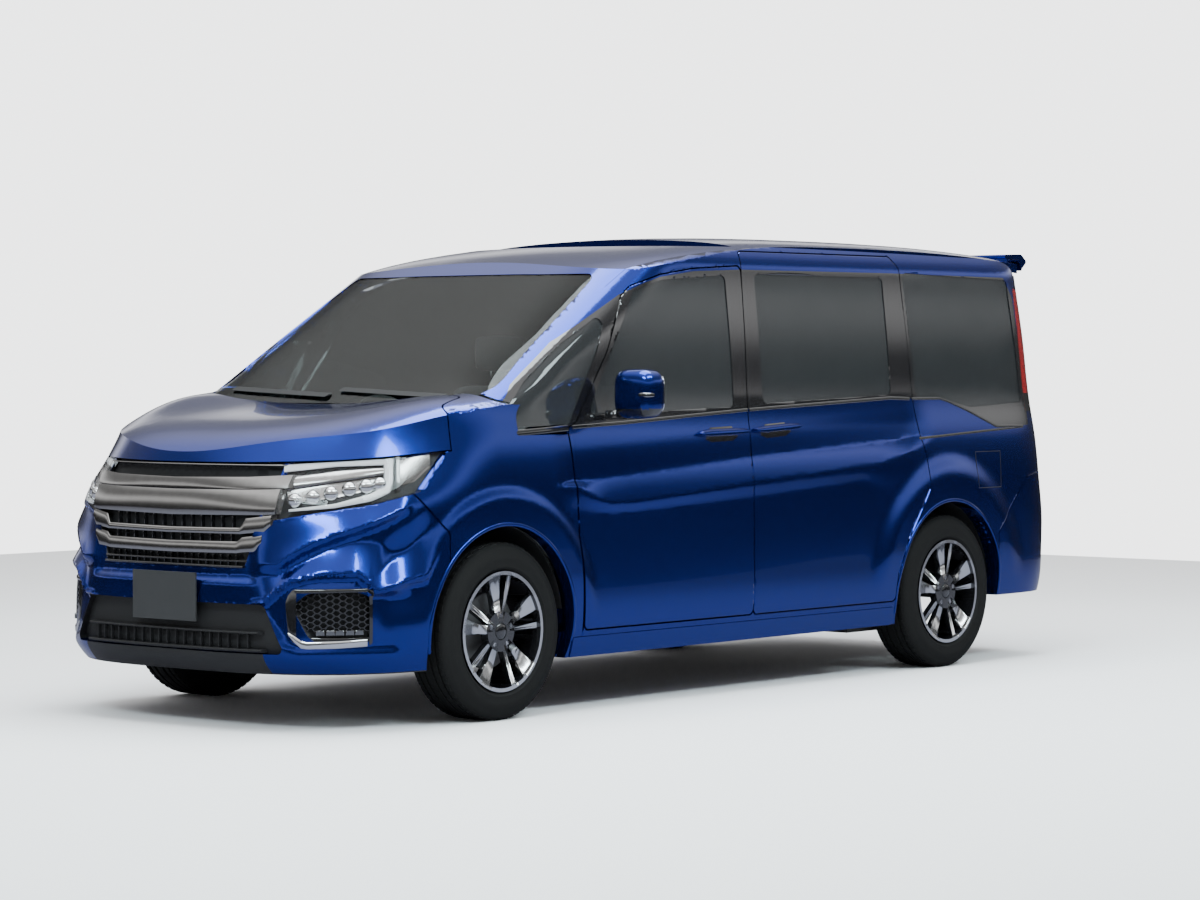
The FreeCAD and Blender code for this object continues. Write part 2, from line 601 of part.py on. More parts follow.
# Wheels: bound to the sheet through expressions
def wheel(name, axle, side):
    centre = V(axle, side * track, wheel_r)
    half = size("tyreWidth") / 2
    rim_r = size("rimRadius")
    profile = Part.Face(smooth_loop([V(0, -half, rim_r - 12), V(0, -half, wheel_r - 30), V(0, -half + 22, wheel_r),
                                     V(0, half - 22, wheel_r), V(0, half, wheel_r - 30), V(0, half, rim_r - 12)],
                                    24))
    tyre = profile.revolve(V(0, 0, 0), V(0, 1, 0), 360)
    add("tyre_" + name, tyre, centre)
    outer = side * (half - 6)
    inner = side * (-half + 6)
    barrel = Part.makeCylinder(rim_r - 12 - seat_gap, abs(outer - inner), V(0, min(outer, inner), 0), V(0, 1, 0))
    barrel = barrel.cut(Part.makeCylinder(rim_r - 26, 400, V(0, -200, 0), V(0, 1, 0)))
    face_low = side * 50
    hub = Part.makeCylinder(size("hubRadius"), 34, V(0, min(face_low, face_low + side * 34), 0), V(0, 1, 0))
    rim = barrel.fuse(hub)
    broad = [V(-15, 0, 50), V(-20, 0, 120), V(-44, 0, rim_r - 18), V(26, 0, rim_r - 18), V(14, 0, 120), V(15, 0, 50)]
    slim = [V(-9, 0, 50), V(-10, 0, rim_r - 18), V(12, 0, rim_r - 18), V(9, 0, 50)]
    for k in range(5):
        for outline, lean, face_up in ((broad, 12, 4), (slim, -15, 0)):
            spoke = Part.Face(Part.makePolygon(outline + outline[:1])).extrude(V(0, side * 26, 0))
            spoke.translate(V(0, face_low + side * face_up, 0))
            spoke.rotate(V(0, 0, 0), V(0, 1, 0), 72 * k + lean)
            rim = rim.fuse(spoke)
    rim = rim.cut(Part.makeCylinder(size("boreRadius"), 400, V(0, -200, 0), V(0, 1, 0)))
    add("rim_" + name, solids(rim), centre)


for wheel_name, axle_x, hand in (("front_left", front_axle, 1), ("front_right", front_axle, -1),
                                 ("rear_left", rear_axle, 1), ("rear_right", rear_axle, -1)):
    wheel(wheel_name, axle_x, hand)

# Knuckles: upright, gooseneck, hub spindle and brake disc of a front wheel
steer_y = size("steerAxisHalf")
strut_y = size("strutHalf")
arm_top = 250
knuckle_top = wheel_r + 150


def knuckle(hand):
    def across(near, far):
        return sorted((hand * near, hand * far))
    disc_low, disc_high = across(track - 3, track + 19)
    disc = Part.makeCylinder(size("discRadius"), disc_high - disc_low, V(front_axle, disc_low, wheel_r), V(0, 1, 0))
    spin_low, spin_high = across(steer_y, track + 70)
    spindle = Part.makeCylinder(size("boreRadius") - 2 * seat_gap, spin_high - spin_low,
                                V(front_axle, spin_low, wheel_r), V(0, 1, 0))
    up_low, up_high = across(steer_y - 18, steer_y + 22)
    upright = box((front_axle - 40, up_low, arm_top + seat_gap), (front_axle + 40, up_high, knuckle_top))
    neck_low, neck_high = across(strut_y - 22, steer_y)
    neck = box((front_axle - 24, neck_low, knuckle_top - 36), (front_axle + 24, neck_high, knuckle_top))
    return disc.fuse([spindle, upright, neck])


add("knuckle_left", knuckle(1))
add("knuckle_right", knuckle(-1))

# Floor pan with bulkhead and rear cross panel
floor = box((-2240, -size("rearFloorHalf"), floor_low), (1180, size("rearFloorHalf"), floor_z))
floor = floor.fuse(box((-980, -size("floorHalf"), floor_low), (1030, size("floorHalf"), floor_z)))
bulkhead = box((1180, -590, floor_low), (1210, 590, 1060))
cross_panel = wall(tail_row, UPPER_LEVELS, frame_depth + 2 * seat_gap, 150, True)
cross_panel = cross_panel.common(box((-2400, -540, floor_low), (-2150, 540, 540)))
floor = solids(floor.fuse([bulkhead, solids(cross_panel)]))
for liner_end in (size("linerInner") - seat_gap, -900):
    wheel_room = Part.makeCylinder(arch_r + 12 + seat_gap, 900 - size("linerInner") + seat_gap,
                                   V(front_axle, liner_end, wheel_r), V(0, 1, 0))
    floor = floor.cut(wheel_room.common(box((1000, -1000, 386), (1600, 1000, 1000))))
steer_room = box((1060, 470, 0), (1300, 900, 386.5))
floor = floor.cut([steer_room, mirrored(steer_room)])
add("floor_pan", solids(floor))


# Wheelhouse liners: an inner wall and a rounded roof over each wheel
liner_out = body_half - size("frameDepth") - 13


def liner(axle, low_y):
    outer = Part.makeCylinder(arch_r + 12, liner_out - low_y, V(axle, low_y, wheel_r), V(0, 1, 0))
    hollow = Part.makeCylinder(arch_r + 4, liner_out - low_y, V(axle, low_y + 8, wheel_r), V(0, 1, 0))
    upper = box((axle - 500, 0, wheel_r + 60), (axle + 500, 900, 1000))
    foot = box((rear_axle + 380, 0, floor_z + seat_gap), (rear_axle + 500, 900, wheel_r + 61))
    return outer.cut(hollow).common(upper.fuse(foot))


liners = [liner(front_axle, size("linerInner")), liner(rear_axle, 600)]
add("wheelhouses", Part.makeCompound([both(one) for one in liners]))

# Front rails and bumper beam
rail_y = 380
rails = [box((1210 + seat_gap, rail_y, 400), (2250, size("linerInner") - seat_gap, 500)),
         box((1210 + seat_gap, -size("linerInner") + seat_gap, 400), (2250, -rail_y, 500))]
beam_wall = wall(nose_row, LOWER_LEVELS, skin + 2 * seat_gap, 130, True)
beam = solids(beam_wall.common(box((1900, -560, 455), (2400, 560, 560))))
lower_tie = box((2075, -rail_y - 20, 420), (2125, rail_y + 20, 450))
add("front_rails", rails[0].fuse([rails[1], beam, lower_tie]))

# Cowl panel below the screen, with the bonnet's hinge brackets
cowl = box((1400, -600, 1075), (1530, 600, 1087)).fuse(box((1210 + seat_gap, -590, 1045), (1410, 590, 1080)))
hinge_arm = box((1490, 480, 1030), (1690, 540, 1042)).fuse([box((1490, 480, 1030), (1520, 540, 1080)),
                                                           box((1642, 480, 1030), (1690, 540, 1200))])
hinge_blocks = both(hinge_arm)
below_bonnet = surface(lowered(bonnet_rows, size("bonnetDepth") + seat_gap)).extrude(V(0, 0, -1400))
add("cowl_panel", solids(cowl.fuse(hinge_blocks).common(below_bonnet)))

# Front subframe with lower arms; struts; rear axle beam
subframe = box((1330, -330, 215), (1610, 330, 270))
mounts_up = [box((1340, rail_y, 215), (1400, rail_y + 50, 400 - seat_gap)),
             box((1340, -rail_y - 50, 215), (1400, -rail_y, 400 - seat_gap))]
ties_out = box((1340, -rail_y - 50, 215), (1400, rail_y + 50, 265))
arms = [box((front_axle - 45, 320, 222), (front_axle + 45, steer_y + 22, arm_top)),
        box((front_axle - 45, -steer_y - 22, 222), (front_axle + 45, -320, arm_top))]
add("front_subframe", subframe.fuse(mounts_up + [ties_out] + arms))
strut_top = wheel_r + arch_r + 2.5
strut_pieces = [Part.makeCylinder(20, strut_top - knuckle_top - seat_gap,
                                  V(front_axle, hand * strut_y, knuckle_top + seat_gap), V(0, 0, 1))
                for hand in (1, -1)]
add("struts", Part.makeCompound(strut_pieces))
beam_z = 195
axle_beam = Part.makeCylinder(36, 1130, V(rear_axle, -565, beam_z), V(0, 1, 0))
for hand in (1, -1):
    low_y, high_y = sorted((hand * 545, hand * 598))
    axle_beam = axle_beam.fuse([box((rear_axle - 40, low_y, 160), (rear_axle + 420, high_y, 215)),
                                box((rear_axle - 40, low_y, 160), (rear_axle + 40, high_y, wheel_r + 45)),
                                box((rear_axle + 360, min(hand * 480, high_y), 160),
                                    (rear_axle + 420, max(hand * 480, high_y), floor_low - seat_gap))])
    spin = sorted((hand * 565, hand * (track + 70)))
    axle_beam = axle_beam.fuse(Part.makeCylinder(size("boreRadius") - 2 * seat_gap, spin[1] - spin[0],
                                                 V(rear_axle, spin[0], wheel_r), V(0, 1, 0)))
add("rear_axle", axle_beam)

# Engine, radiator, fuel tank and exhaust
add("engine", box((1400, -rail_y + seat_gap, 380), (1900, rail_y - seat_gap, 880)))
add("radiator", box((2080, -340, 450 + seat_gap), (2120, 340, 800)))
add("fuel_tank", box((-500, -400, 190), (250, 380, floor_low - seat_gap)))
pipe = Part.makeCylinder(28, 2100, V(-1650, -450, floor_low - 28 - seat_gap), V(1, 0, 0))
silencer = Part.makeCylinder(70, 480, V(-2120, -420, floor_low - 70 - seat_gap), V(1, 0, 0))
add("exhaust", pipe.fuse(silencer))


# Seats
def seat(x, y, width, height=620):
    cushion = box((x - 250, y - width / 2, floor_z + seat_gap), (x + 250, y + width / 2, floor_z + 310))
    back = box((x - 370, y - width / 2, floor_z + 180), (x - 240, y + width / 2, floor_z + 310 + height))
    head = box((x - 390, y - 130, floor_z + 320 + height), (x - 290, y + 130, floor_z + 480 + height))
    post = box((x - 345, y - 40, floor_z + 300 + height), (x - 325, y + 40, floor_z + 330 + height))
    return cushion.fuse([back, head, post])


add("front_seats", Part.makeCompound([seat(480, 370, 500), seat(480, -370, 500)]))
add("middle_seats", Part.makeCompound([seat(-420, 370, 500), seat(-420, -370, 500)]))
add("rear_seats", Part.makeCompound([seat(-1230, 268, 520, 560), seat(-1230, -268, 520, 560)]))

# Dashboard, with the driver on the right
dash_back = 1180 - seat_gap
dash_half = 672
dash_profile = Part.Face(smooth_loop([V(dash_back, -dash_half, 640), V(dash_back, -dash_half, 1060), V(1100, -dash_half, 1085),
                                      V(920, -dash_half, 1040), V(880, -dash_half, 940), V(960, -dash_half, 760),
                                      V(1080, -dash_half, 650)], 25))
dash = dash_profile.extrude(V(0, 2 * dash_half, 0))
tilt = math.radians(size("steeringTilt"))
steering_centre = V(790, -370, 1000)
column_way = V(math.cos(tilt), 0, -math.sin(tilt))
column_length = 60
dash = dash.fuse(Part.makeCylinder(58, 160, steering_centre + column_way * (column_length + seat_gap), column_way))
add("dashboard", dash)

# Steering wheel with its column
wheel_ring = Part.makeTorus(size("steeringRadius"), 15)
spokes = box((-size("steeringRadius"), -20, -10), (size("steeringRadius"), 20, 8))
hub_disc = Part.makeCylinder(55, 40, V(0, 0, -30))
column = Part.makeCylinder(24, column_length, V(0, 0, 0), V(0, 0, -1))
steering = wheel_ring.fuse([spokes, hub_disc, column])
add("steering_wheel", steering, steering_centre, size("steeringTilt") - 90)

# Wipers at rest on the foot of the screen
blades = []
for tip, foot in (((-560, 1212), (20, 1190)), ((40, 1212), (590, 1190))):
    strip = front_prism([(tip[0], tip[1] - 8), (tip[0], tip[1] + 6), (foot[0], foot[1] + 6), (foot[0], foot[1] - 8)],
                        0, 2, 1200, 1800)
    blades.append(strip)
wiper_wall = wall(cabin_row, GLASS_LEVELS[1:5], -8, glass_out - seat_gap, True)
add("wipers", Part.makeCompound([solids(wiper_wall.common(strip)) for strip in blades]))

doc.recompute()

# Export, after checking every object
for item in doc.Objects:
    if "Invalid" in item.State or "Error" in item.State:
        raise RuntimeError(item.Name + " did not build")
for name, item in pieces.items():
    if item.Shape.isNull() or not item.Shape.isValid():
        raise RuntimeError(name + " has no valid shape")
for name, item in pieces.items():
    item.Shape.exportStep("parts/" + name + ".step")
print(len(pieces), "pieces")
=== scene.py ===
import bpy
import bmesh
import json
import math
from mathutils import Vector, Matrix


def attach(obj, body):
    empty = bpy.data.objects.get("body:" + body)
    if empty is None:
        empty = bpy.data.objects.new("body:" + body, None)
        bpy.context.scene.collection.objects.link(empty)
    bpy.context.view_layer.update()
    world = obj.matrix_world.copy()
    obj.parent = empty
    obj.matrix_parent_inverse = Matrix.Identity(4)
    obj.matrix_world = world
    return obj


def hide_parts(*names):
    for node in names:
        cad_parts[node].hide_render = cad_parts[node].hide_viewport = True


# A boxy family minivan in deep blue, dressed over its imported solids.
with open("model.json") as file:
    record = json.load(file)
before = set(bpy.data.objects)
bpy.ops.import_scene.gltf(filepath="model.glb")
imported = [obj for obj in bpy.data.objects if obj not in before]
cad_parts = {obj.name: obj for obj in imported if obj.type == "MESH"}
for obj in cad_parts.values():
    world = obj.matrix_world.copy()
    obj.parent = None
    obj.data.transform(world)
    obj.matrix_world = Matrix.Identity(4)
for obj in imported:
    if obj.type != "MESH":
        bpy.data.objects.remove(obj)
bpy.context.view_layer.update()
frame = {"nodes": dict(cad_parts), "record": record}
nodes = frame["nodes"]

# Studio: one large soft light overhead, a long one at the side, a smaller one ahead, and the camera at the
# photograph's angle. The camera sees plain pale surroundings; the floor is made at the end.
scene = bpy.context.scene


def link(obj):
    scene.collection.objects.link(obj)
    return obj


def light(name, place, aim, wide, high, power, tint=(1, 1, 1)):
    lamp = bpy.data.lights.new(name, "AREA")
    lamp.shape = "RECTANGLE"
    lamp.size = wide
    lamp.size_y = high
    lamp.energy = power
    lamp.color = tint
    obj = link(bpy.data.objects.new(name, lamp))
    obj.location = place
    obj.rotation_mode = "QUATERNION"
    obj.rotation_quaternion = (Vector(aim) - Vector(place)).to_track_quat("-Z", "Y")
    return obj


light("top_light", (0.2, 0.4, 6.0), (0.2, 0.1, 0.0), 7.0, 3.4, 760, (0.88, 0.97, 1.0))
light("front_light", (7.4, 2.6, 5.6), (1.9, 0.4, 0.5), 3.2, 1.2, 330, (0.78, 0.95, 1.0))
light("side_light", (0.2, 6.4, 6.0), (-0.4, 0.6, 0.7), 7.5, 1.1, 560, (0.78, 0.95, 1.0))

world = bpy.data.worlds.new("studio")
scene.world = world
world.use_nodes = True
wt = world.node_tree
wt.nodes.clear()
w_out = wt.nodes.new("ShaderNodeOutputWorld")
w_mix = wt.nodes.new("ShaderNodeMixShader")
w_path = wt.nodes.new("ShaderNodeLightPath")
w_seen = wt.nodes.new("ShaderNodeBackground")
w_seen.inputs["Color"].default_value = (0.95, 0.96, 0.97, 1)
w_seen.inputs["Strength"].default_value = 3.6
w_soft = wt.nodes.new("ShaderNodeBackground")
w_soft.inputs["Strength"].default_value = 1.9
w_place = wt.nodes.new("ShaderNodeTexCoord")
w_axis = wt.nodes.new("ShaderNodeSeparateXYZ")
w_ramp = wt.nodes.new("ShaderNodeValToRGB")
# Brightness of the soft surroundings from straight down to straight up; a bright band just above the horizon
# draws the pressed lines of the side.
stops = [(0.0, 0.02), (0.50, 0.02), (0.555, 0.06), (0.60, 0.80), (0.64, 0.14), (0.72, 0.22), (0.86, 0.9),
         (1.0, 0.8)]
ramp = w_ramp.color_ramp
ramp.elements[0].position = stops[0][0]
ramp.elements[0].color = (stops[0][1],) * 3 + (1,)
ramp.elements[1].position = stops[-1][0]
ramp.elements[1].color = (stops[-1][1],) * 3 + (1,)
for place, grey in stops[1:-1]:
    stop = ramp.elements.new(place)
    stop.color = (grey, grey, grey, 1)
w_half = wt.nodes.new("ShaderNodeMath")
w_half.operation = "MULTIPLY_ADD"
w_half.inputs[1].default_value = 0.5
w_half.inputs[2].default_value = 0.5
wt.links.new(w_place.outputs["Generated"], w_axis.inputs[0])
wt.links.new(w_axis.outputs["Z"], w_half.inputs[0])
wt.links.new(w_half.outputs[0], w_ramp.inputs[0])
wt.links.new(w_ramp.outputs["Color"], w_soft.inputs["Color"])
wt.links.new(w_path.outputs["Is Camera Ray"], w_mix.inputs[0])
wt.links.new(w_soft.outputs[0], w_mix.inputs[1])
wt.links.new(w_seen.outputs[0], w_mix.inputs[2])
wt.links.new(w_mix.outputs[0], w_out.inputs["Surface"])

camera = link(bpy.data.objects.new("camera", bpy.data.cameras.new("camera")))
camera.data.sensor_width = 36.0
camera.data.lens = 102.45
camera.data.clip_end = 200
camera.location = (10.819, 9.1025, 1.312)
yaw = 3.83761
pitch = -0.025644
looks = Vector((math.cos(pitch) * math.cos(yaw), math.cos(pitch) * math.sin(yaw), math.sin(pitch)))
camera.rotation_mode = "QUATERNION"
camera.rotation_quaternion = looks.to_track_quat("-Z", "Y")
scene.camera = camera


# Every finish starts from the same fine mottle of colour and roughness, one node group with named inputs.
# A bump from the same noise gives moulded plastic, rubber and cloth their grain.
def group(name, inputs, outputs):
    tree = bpy.data.node_groups.new(name, "ShaderNodeTree")
    for label, kind, value in inputs:
        socket = tree.interface.new_socket(name=label, in_out="INPUT", socket_type="NodeSocket" + kind)
        if value is not None:
            socket.default_value = value
    for label, kind in outputs:
        tree.interface.new_socket(name=label, in_out="OUTPUT", socket_type="NodeSocket" + kind)
    return tree, tree.nodes.new("NodeGroupInput"), tree.nodes.new("NodeGroupOutput")


mottle, m_in, m_out = group(
    "mottle", [("Scale", "Float", 60.0), ("Dark", "Color", (0, 0, 0, 1)), ("Light", "Color", (1, 1, 1, 1)),
               ("Rough Low", "Float", 0.3), ("Rough High", "Float", 0.5)],
    [("Color", "Color"), ("Roughness", "Float"), ("Height", "Float")])
m_place = mottle.nodes.new("ShaderNodeTexCoord")
m_noise = mottle.nodes.new("ShaderNodeTexNoise")
m_noise.inputs["Detail"].default_value = 4
m_mix = mottle.nodes.new("ShaderNodeMix")
m_mix.data_type = "RGBA"
m_range = mottle.nodes.new("ShaderNodeMapRange")
mottle.links.new(m_place.outputs["Object"], m_noise.inputs["Vector"])
mottle.links.new(m_in.outputs["Scale"], m_noise.inputs["Scale"])
mottle.links.new(m_noise.outputs["Fac"], m_mix.inputs[0])
mottle.links.new(m_in.outputs["Dark"], m_mix.inputs[6])
mottle.links.new(m_in.outputs["Light"], m_mix.inputs[7])
mottle.links.new(m_noise.outputs["Fac"], m_range.inputs["Value"])
mottle.links.new(m_in.outputs["Rough Low"], m_range.inputs["To Min"])
mottle.links.new(m_in.outputs["Rough High"], m_range.inputs["To Max"])
mottle.links.new(m_mix.outputs[2], m_out.inputs["Color"])
mottle.links.new(m_range.outputs[0], m_out.inputs["Roughness"])
mottle.links.new(m_noise.outputs["Fac"], m_out.inputs["Height"])


def finish_of(name, dark, light_tone, scale, rough=(0.3, 0.5), bump=0.0, **fixed):
    """Material with mottled colour and roughness; fixed values go on the shader's own sockets."""
    mat = bpy.data.materials.new(name)
    mat.use_nodes = True
    tree = mat.node_tree
    shader = tree.nodes["Principled BSDF"]
    spots = tree.nodes.new("ShaderNodeGroup")
    spots.node_tree = mottle
    spots.inputs["Scale"].default_value = scale
    spots.inputs["Dark"].default_value = (*dark, 1)
    spots.inputs["Light"].default_value = (*light_tone, 1)
    spots.inputs["Rough Low"].default_value = rough[0]
    spots.inputs["Rough High"].default_value = rough[1]
    tree.links.new(spots.outputs["Color"], shader.inputs["Base Color"])
    tree.links.new(spots.outputs["Roughness"], shader.inputs["Roughness"])
    if bump:
        bumper = tree.nodes.new("ShaderNodeBump")
        bumper.inputs["Strength"].default_value = 0.6
        bumper.inputs["Distance"].default_value = bump
        tree.links.new(spots.outputs["Height"], bumper.inputs["Height"])
        tree.links.new(bumper.outputs["Normal"], shader.inputs["Normal"])
    for label, value in fixed.items():
        shader.inputs[label.replace("_", " ")].default_value = value
    return mat


# Painted body: pressed steel and moulded plastic panels under deep blue metallic paint with a clear coat.
# Trims beside them are moulded in black: glossy, satin or grained.
paint = finish_of("blue_paint", (0.006, 0.021, 0.20), (0.010, 0.033, 0.28), 900, (0.15, 0.19),
                  Metallic=0.95, Coat_Weight=0.5, Coat_Roughness=0.02, Coat_IOR=1.4)
gloss_black = finish_of("gloss_black", (0.004, 0.004, 0.005), (0.008, 0.008, 0.009), 40, (0.05, 0.09),
                        Coat_Weight=1.0, Coat_Roughness=0.02)
satin_black = finish_of("satin_black", (0.008, 0.008, 0.009), (0.018, 0.018, 0.019), 500, (0.35, 0.5), 0.0002,
                         Specular_IOR_Level=0.25)
grained_black = finish_of("grained_black", (0.006, 0.006, 0.007), (0.022, 0.022, 0.023), 900, (0.5, 0.68),
                          0.0003,
                          Specular_IOR_Level=0.2)

# The body's form in plan and in height, in millimetres, as its panels were drawn: straight sides that narrow
# towards the roof, and rounded corners in plan at the nose, the windscreen and the tail.
FRONT_AXLE = 1470
REAR_AXLE = -1420
WHEEL_HIGH = 327
NOSE_START = 1470.0
TAIL_START = -1700.0


def spline(points):
    """Smooth curve through (height, value) points, as a function of height."""
    xs = [p[0] for p in points]
    ys = [p[1] for p in points]
    count = len(xs)
    step = [xs[i + 1] - xs[i] for i in range(count - 1)]
    lower = [0.0] * count
    upper = [0.0] * count
    bend = [0.0] * count
    for i in range(1, count - 1):
        slope = (ys[i + 1] - ys[i]) / step[i] - (ys[i] - ys[i - 1]) / step[i - 1]
        pivot = 2 * (step[i] + step[i - 1]) - step[i - 1] * lower[i - 1]
        lower[i] = step[i] / pivot
        upper[i] = (6 * slope - step[i - 1] * upper[i - 1]) / pivot
    for i in range(count - 2, 0, -1):
        bend[i] = upper[i] - lower[i] * bend[i + 1]

    def value(x):
        i = 0
        while i < count - 2 and x > xs[i + 1]:
            i += 1
        a = (xs[i + 1] - x) / step[i]
        b = (x - xs[i]) / step[i]
        curve = ((a ** 3 - a) * bend[i] + (b ** 3 - b) * bend[i + 1]) * step[i] ** 2 / 6
        return a * ys[i] + b * ys[i + 1] + curve
    return value


half_at = spline([(175, 803.5), (225, 817.5), (325, 840.5), (480, 846.5), (700, 847.5), (880, 844.5),
                  (1000, 833.5), (1130, 812), (1400, 782), (1670, 748), (1730, 736), (1780, 706)])
nose_at = spline([(175, 2296), (250, 2366), (360, 2374), (480, 2366), (600, 2361), (720, 2350), (850, 2332),
                  (950, 2306), (1060, 2261), (1200, 2196)])
nose_round = spline([(175, 3.2), (420, 3.45), (500, 3.4), (660, 3.1), (800, 3.0), (900, 2.55), (970, 2.3),
                     (1200, 2.2)])
TAIL = 2375.6
tail_at = spline([(175, TAIL - 60), (300, TAIL - 20), (480, TAIL), (620, TAIL + 4), (780, TAIL - 25),
                  (1000, TAIL - 52), (1170, TAIL - 65), (1600, TAIL - 95), (1800, TAIL - 125)])


def screen_at(z):
    """How far forward the windscreen's middle lies at this height."""
    return 1582 - (max(z, 1125) - 1155) * 892 / 545


def plan_corner(x, z, end):
    """(start, reach, width, power) of the rounded corner a point lies on, or None on the straight side."""
    if end == "nose" and x > NOSE_START:
        return NOSE_START, nose_at(z), half_at(z) - 6, nose_round(z)
    if end == "screen":
        reach = screen_at(z)
        start = reach - 500
        if x > start:
            return start, reach, half_at(z) - 6 * (min(start, NOSE_START) / NOSE_START) ** 2, 5.0
    if x < TAIL_START:
        return TAIL_START, -tail_at(z), half_at(z) - 6 * (TAIL_START / NOSE_START) ** 2, 5.2
    return None


def on_form(x, y, z, end):
    """Nearest place on the drawn form at this height, how far off it the point was, and the way out."""
    side = 1 if y >= 0 else -1
    found = plan_corner(x, z, end)
    if not found:
        width = half_at(z) - 6 * (x / NOSE_START) ** 2
        return x, side * width, abs(y) - width, (0.0, side)
    start, reach, width, power = found
    u = max((x - start) / (reach - start), 1e-6)
    v = max(abs(y) / width, 1e-6)
    level = (u ** power + v ** power) ** (1 / power)
    out = Vector((u ** (power - 1) / (reach - start), v ** (power - 1) / width)).normalized()
    off = (level - 1) * (abs(out.x) * abs(x - start) + out.y * abs(y)) / level
    return start + (x - start) / level, y / level, off, (out.x, side * out.y)


def ease(value, low, high):
    """Smooth step from 0 at low to 1 at high."""
    t = min(1.0, max(0.0, (value - low) / (high - low)))
    return t * t * (3 - 2 * t)


def line_at(points, x):
    """Height of a straight-run line at x; points run forward to back."""
    if x >= points[0][0]:
        return points[0][1]
    for (x0, z0), (x1, z1) in zip(points, points[1:]):
        if x >= x1:
            return z0 + (z1 - z0) * (x0 - x) / (x0 - x1)
    return points[-1][1]


# Pressed lines of the side: the shoulder crease, the band below it that sweeps down to the front wheel,
# the haunch over the rear wheel and the flares round both arches.
CREASE = [(1300, 852), (1120, 860), (-28, 935), (-1039, 985), (-1200, 1000)]
SWOOSH = [(1200, 858), (1058, 850), (951, 800), (865, 779), (735, 777), (-28, 833), (-898, 888), (-1200, 951),
          (-1300, 985)]
BAND = [(900, 742), (851, 740), (-28, 770), (-776, 806), (-960, 760), (-1200, 700)]


def side_relief(x, z):
    """How far the pressed side stands out (or in) from its plain form, in millimetres."""
    crease = line_at(CREASE, x)
    swoosh = line_at(SWOOSH, x)
    band = line_at(BAND, x)
    along = ease(x, -1330, -1100) * (1 - ease(x, 1040, 1200))
    if z >= crease:
        out = -10.0 + 4.0 * ease(z, crease, crease + 130)
    elif z >= swoosh:
        t = (crease - z) / max(crease - swoosh, 1)
        out = -10.0 + 10.0 * t ** 0.85
    else:
        out = -4.5 * ease(swoosh - z, 0, max(swoosh - band, 20)) + 4.5 * ease(band - z, 0, 300)
    out *= along
    for axle, lip, foot, high in ((FRONT_AXLE, 478, 545, 9.0), (REAR_AXLE, 486, 610, 15.0)):
        away = math.hypot(x - axle, z - WHEEL_HIGH)
        swell = high * (1 - ease(away, lip, foot)) * ease(z, 330, 520)
        out = max(out, -10) * ease(away, lip, foot) + swell if away < foot else out
    return out


def refined(name, end, relief, step=13.0, across=False, zones=(), shade=None):
    """Finer copy of a CAD node: its skin is cut on a grid, laid on the drawn form and pressed by relief.

    zones are (outline in x and z, material index) pairs; shade gives an index from a face's middle and
    whether it is skin. Returns an object that doesn't ride on a body yet.
    """
    bm = bmesh.new()
    bm.from_mesh(nodes[name].data)
    bmesh.ops.scale(bm, vec=(1000, 1000, 1000), verts=bm.verts)
    bmesh.ops.remove_doubles(bm, verts=bm.verts, dist=0.02)
    bmesh.ops.dissolve_limit(bm, angle_limit=0.0005, verts=bm.verts, edges=bm.edges)
    bm.normal_update()

    def outer(face):
        seen = [on_form(v.co.x, v.co.y, v.co.z, end) for v in face.verts]
        way = sum((Vector((s[3][0], s[3][1], 0)) for s in seen), Vector((0, 0, 0))).normalized()
        return all(abs(s[2]) < 12 for s in seen) and face.normal.dot(way) > 0.5

    layer = bm.faces.layers.int.new("skin")
    for f in bm.faces:
        f[layer] = outer(f)
    low = Vector([min(v.co[k] for v in bm.verts) for k in range(3)])
    high = Vector([max(v.co[k] for v in bm.verts) for k in range(3)])
    cuts = []
    axes = (0, 1, 2) if across else (0, 2)
    for axis in axes:
        place = math.ceil(low[axis] / step) * step
        while place < high[axis]:
            normal = Vector((0, 0, 0))
            normal[axis] = 1
            spot = Vector((0, 0, 0))
            spot[axis] = place + 0.37
            cuts.append((spot, normal))
            place += step
    for outline, _ in zones:
        for (x0, z0), (x1, z1) in zip(outline, outline[1:] + outline[:1]):
            cuts.append((Vector((x0, 0, z0)), Vector((z1 - z0, 0, x0 - x1)).normalized()))
    for spot, normal in cuts:
        faces = [f for f in bm.faces if f[layer]]
        parts = faces + list({e for f in faces for e in f.edges}) + list({v for f in faces for v in f.verts})
        bmesh.ops.bisect_plane(bm, geom=parts, dist=0.01, plane_co=spot, plane_no=normal)
    for f in bm.faces:
        if f[layer]:
            f.smooth = True
    moved = {}
    for v in bm.verts:
        if any(f[layer] for f in v.link_faces):
            x, y, _, out = on_form(v.co.x, v.co.y, v.co.z, end)
            lift = relief(x, y, v.co.z)
            moved[v] = Vector((x + out[0] * lift, y + out[1] * lift, v.co.z))
    for f in bm.faces:
        middle = f.calc_center_median()
        for outline, index in zones:
            if inside(outline, middle.x, middle.z):
                f.material_index = index
        if shade:
            f.material_index = shade(middle, f[layer])
    for v, place in moved.items():
        v.co = place
    bmesh.ops.scale(bm, vec=(0.001, 0.001, 0.001), verts=bm.verts)
    data = bpy.data.meshes.new(name + "_skin")
    bm.to_mesh(data)
    bm.free()
    data.set_sharp_from_angle(angle=math.radians(28))
    return link(bpy.data.objects.new(name + "_skin", data))


def inside(outline, x, z):
    """Whether a place in x and z lies inside a closed outline."""
    hit = False
    for (x0, z0), (x1, z1) in zip(outline, outline[1:] + outline[:1]):
        if (z0 > z) != (z1 > z) and x < x0 + (x1 - x0) * (z - z0) / (z1 - z0):
            hit = not hit
    return hit


def mirrored_copy(obj, name):
    """The same panel for the car's right side, its faces turned to point out."""
    data = obj.data.copy()
    data.transform(Matrix.Scale(-1, 4, (0, 1, 0)))
    data.flip_normals()
    return link(bpy.data.objects.new(name, data))


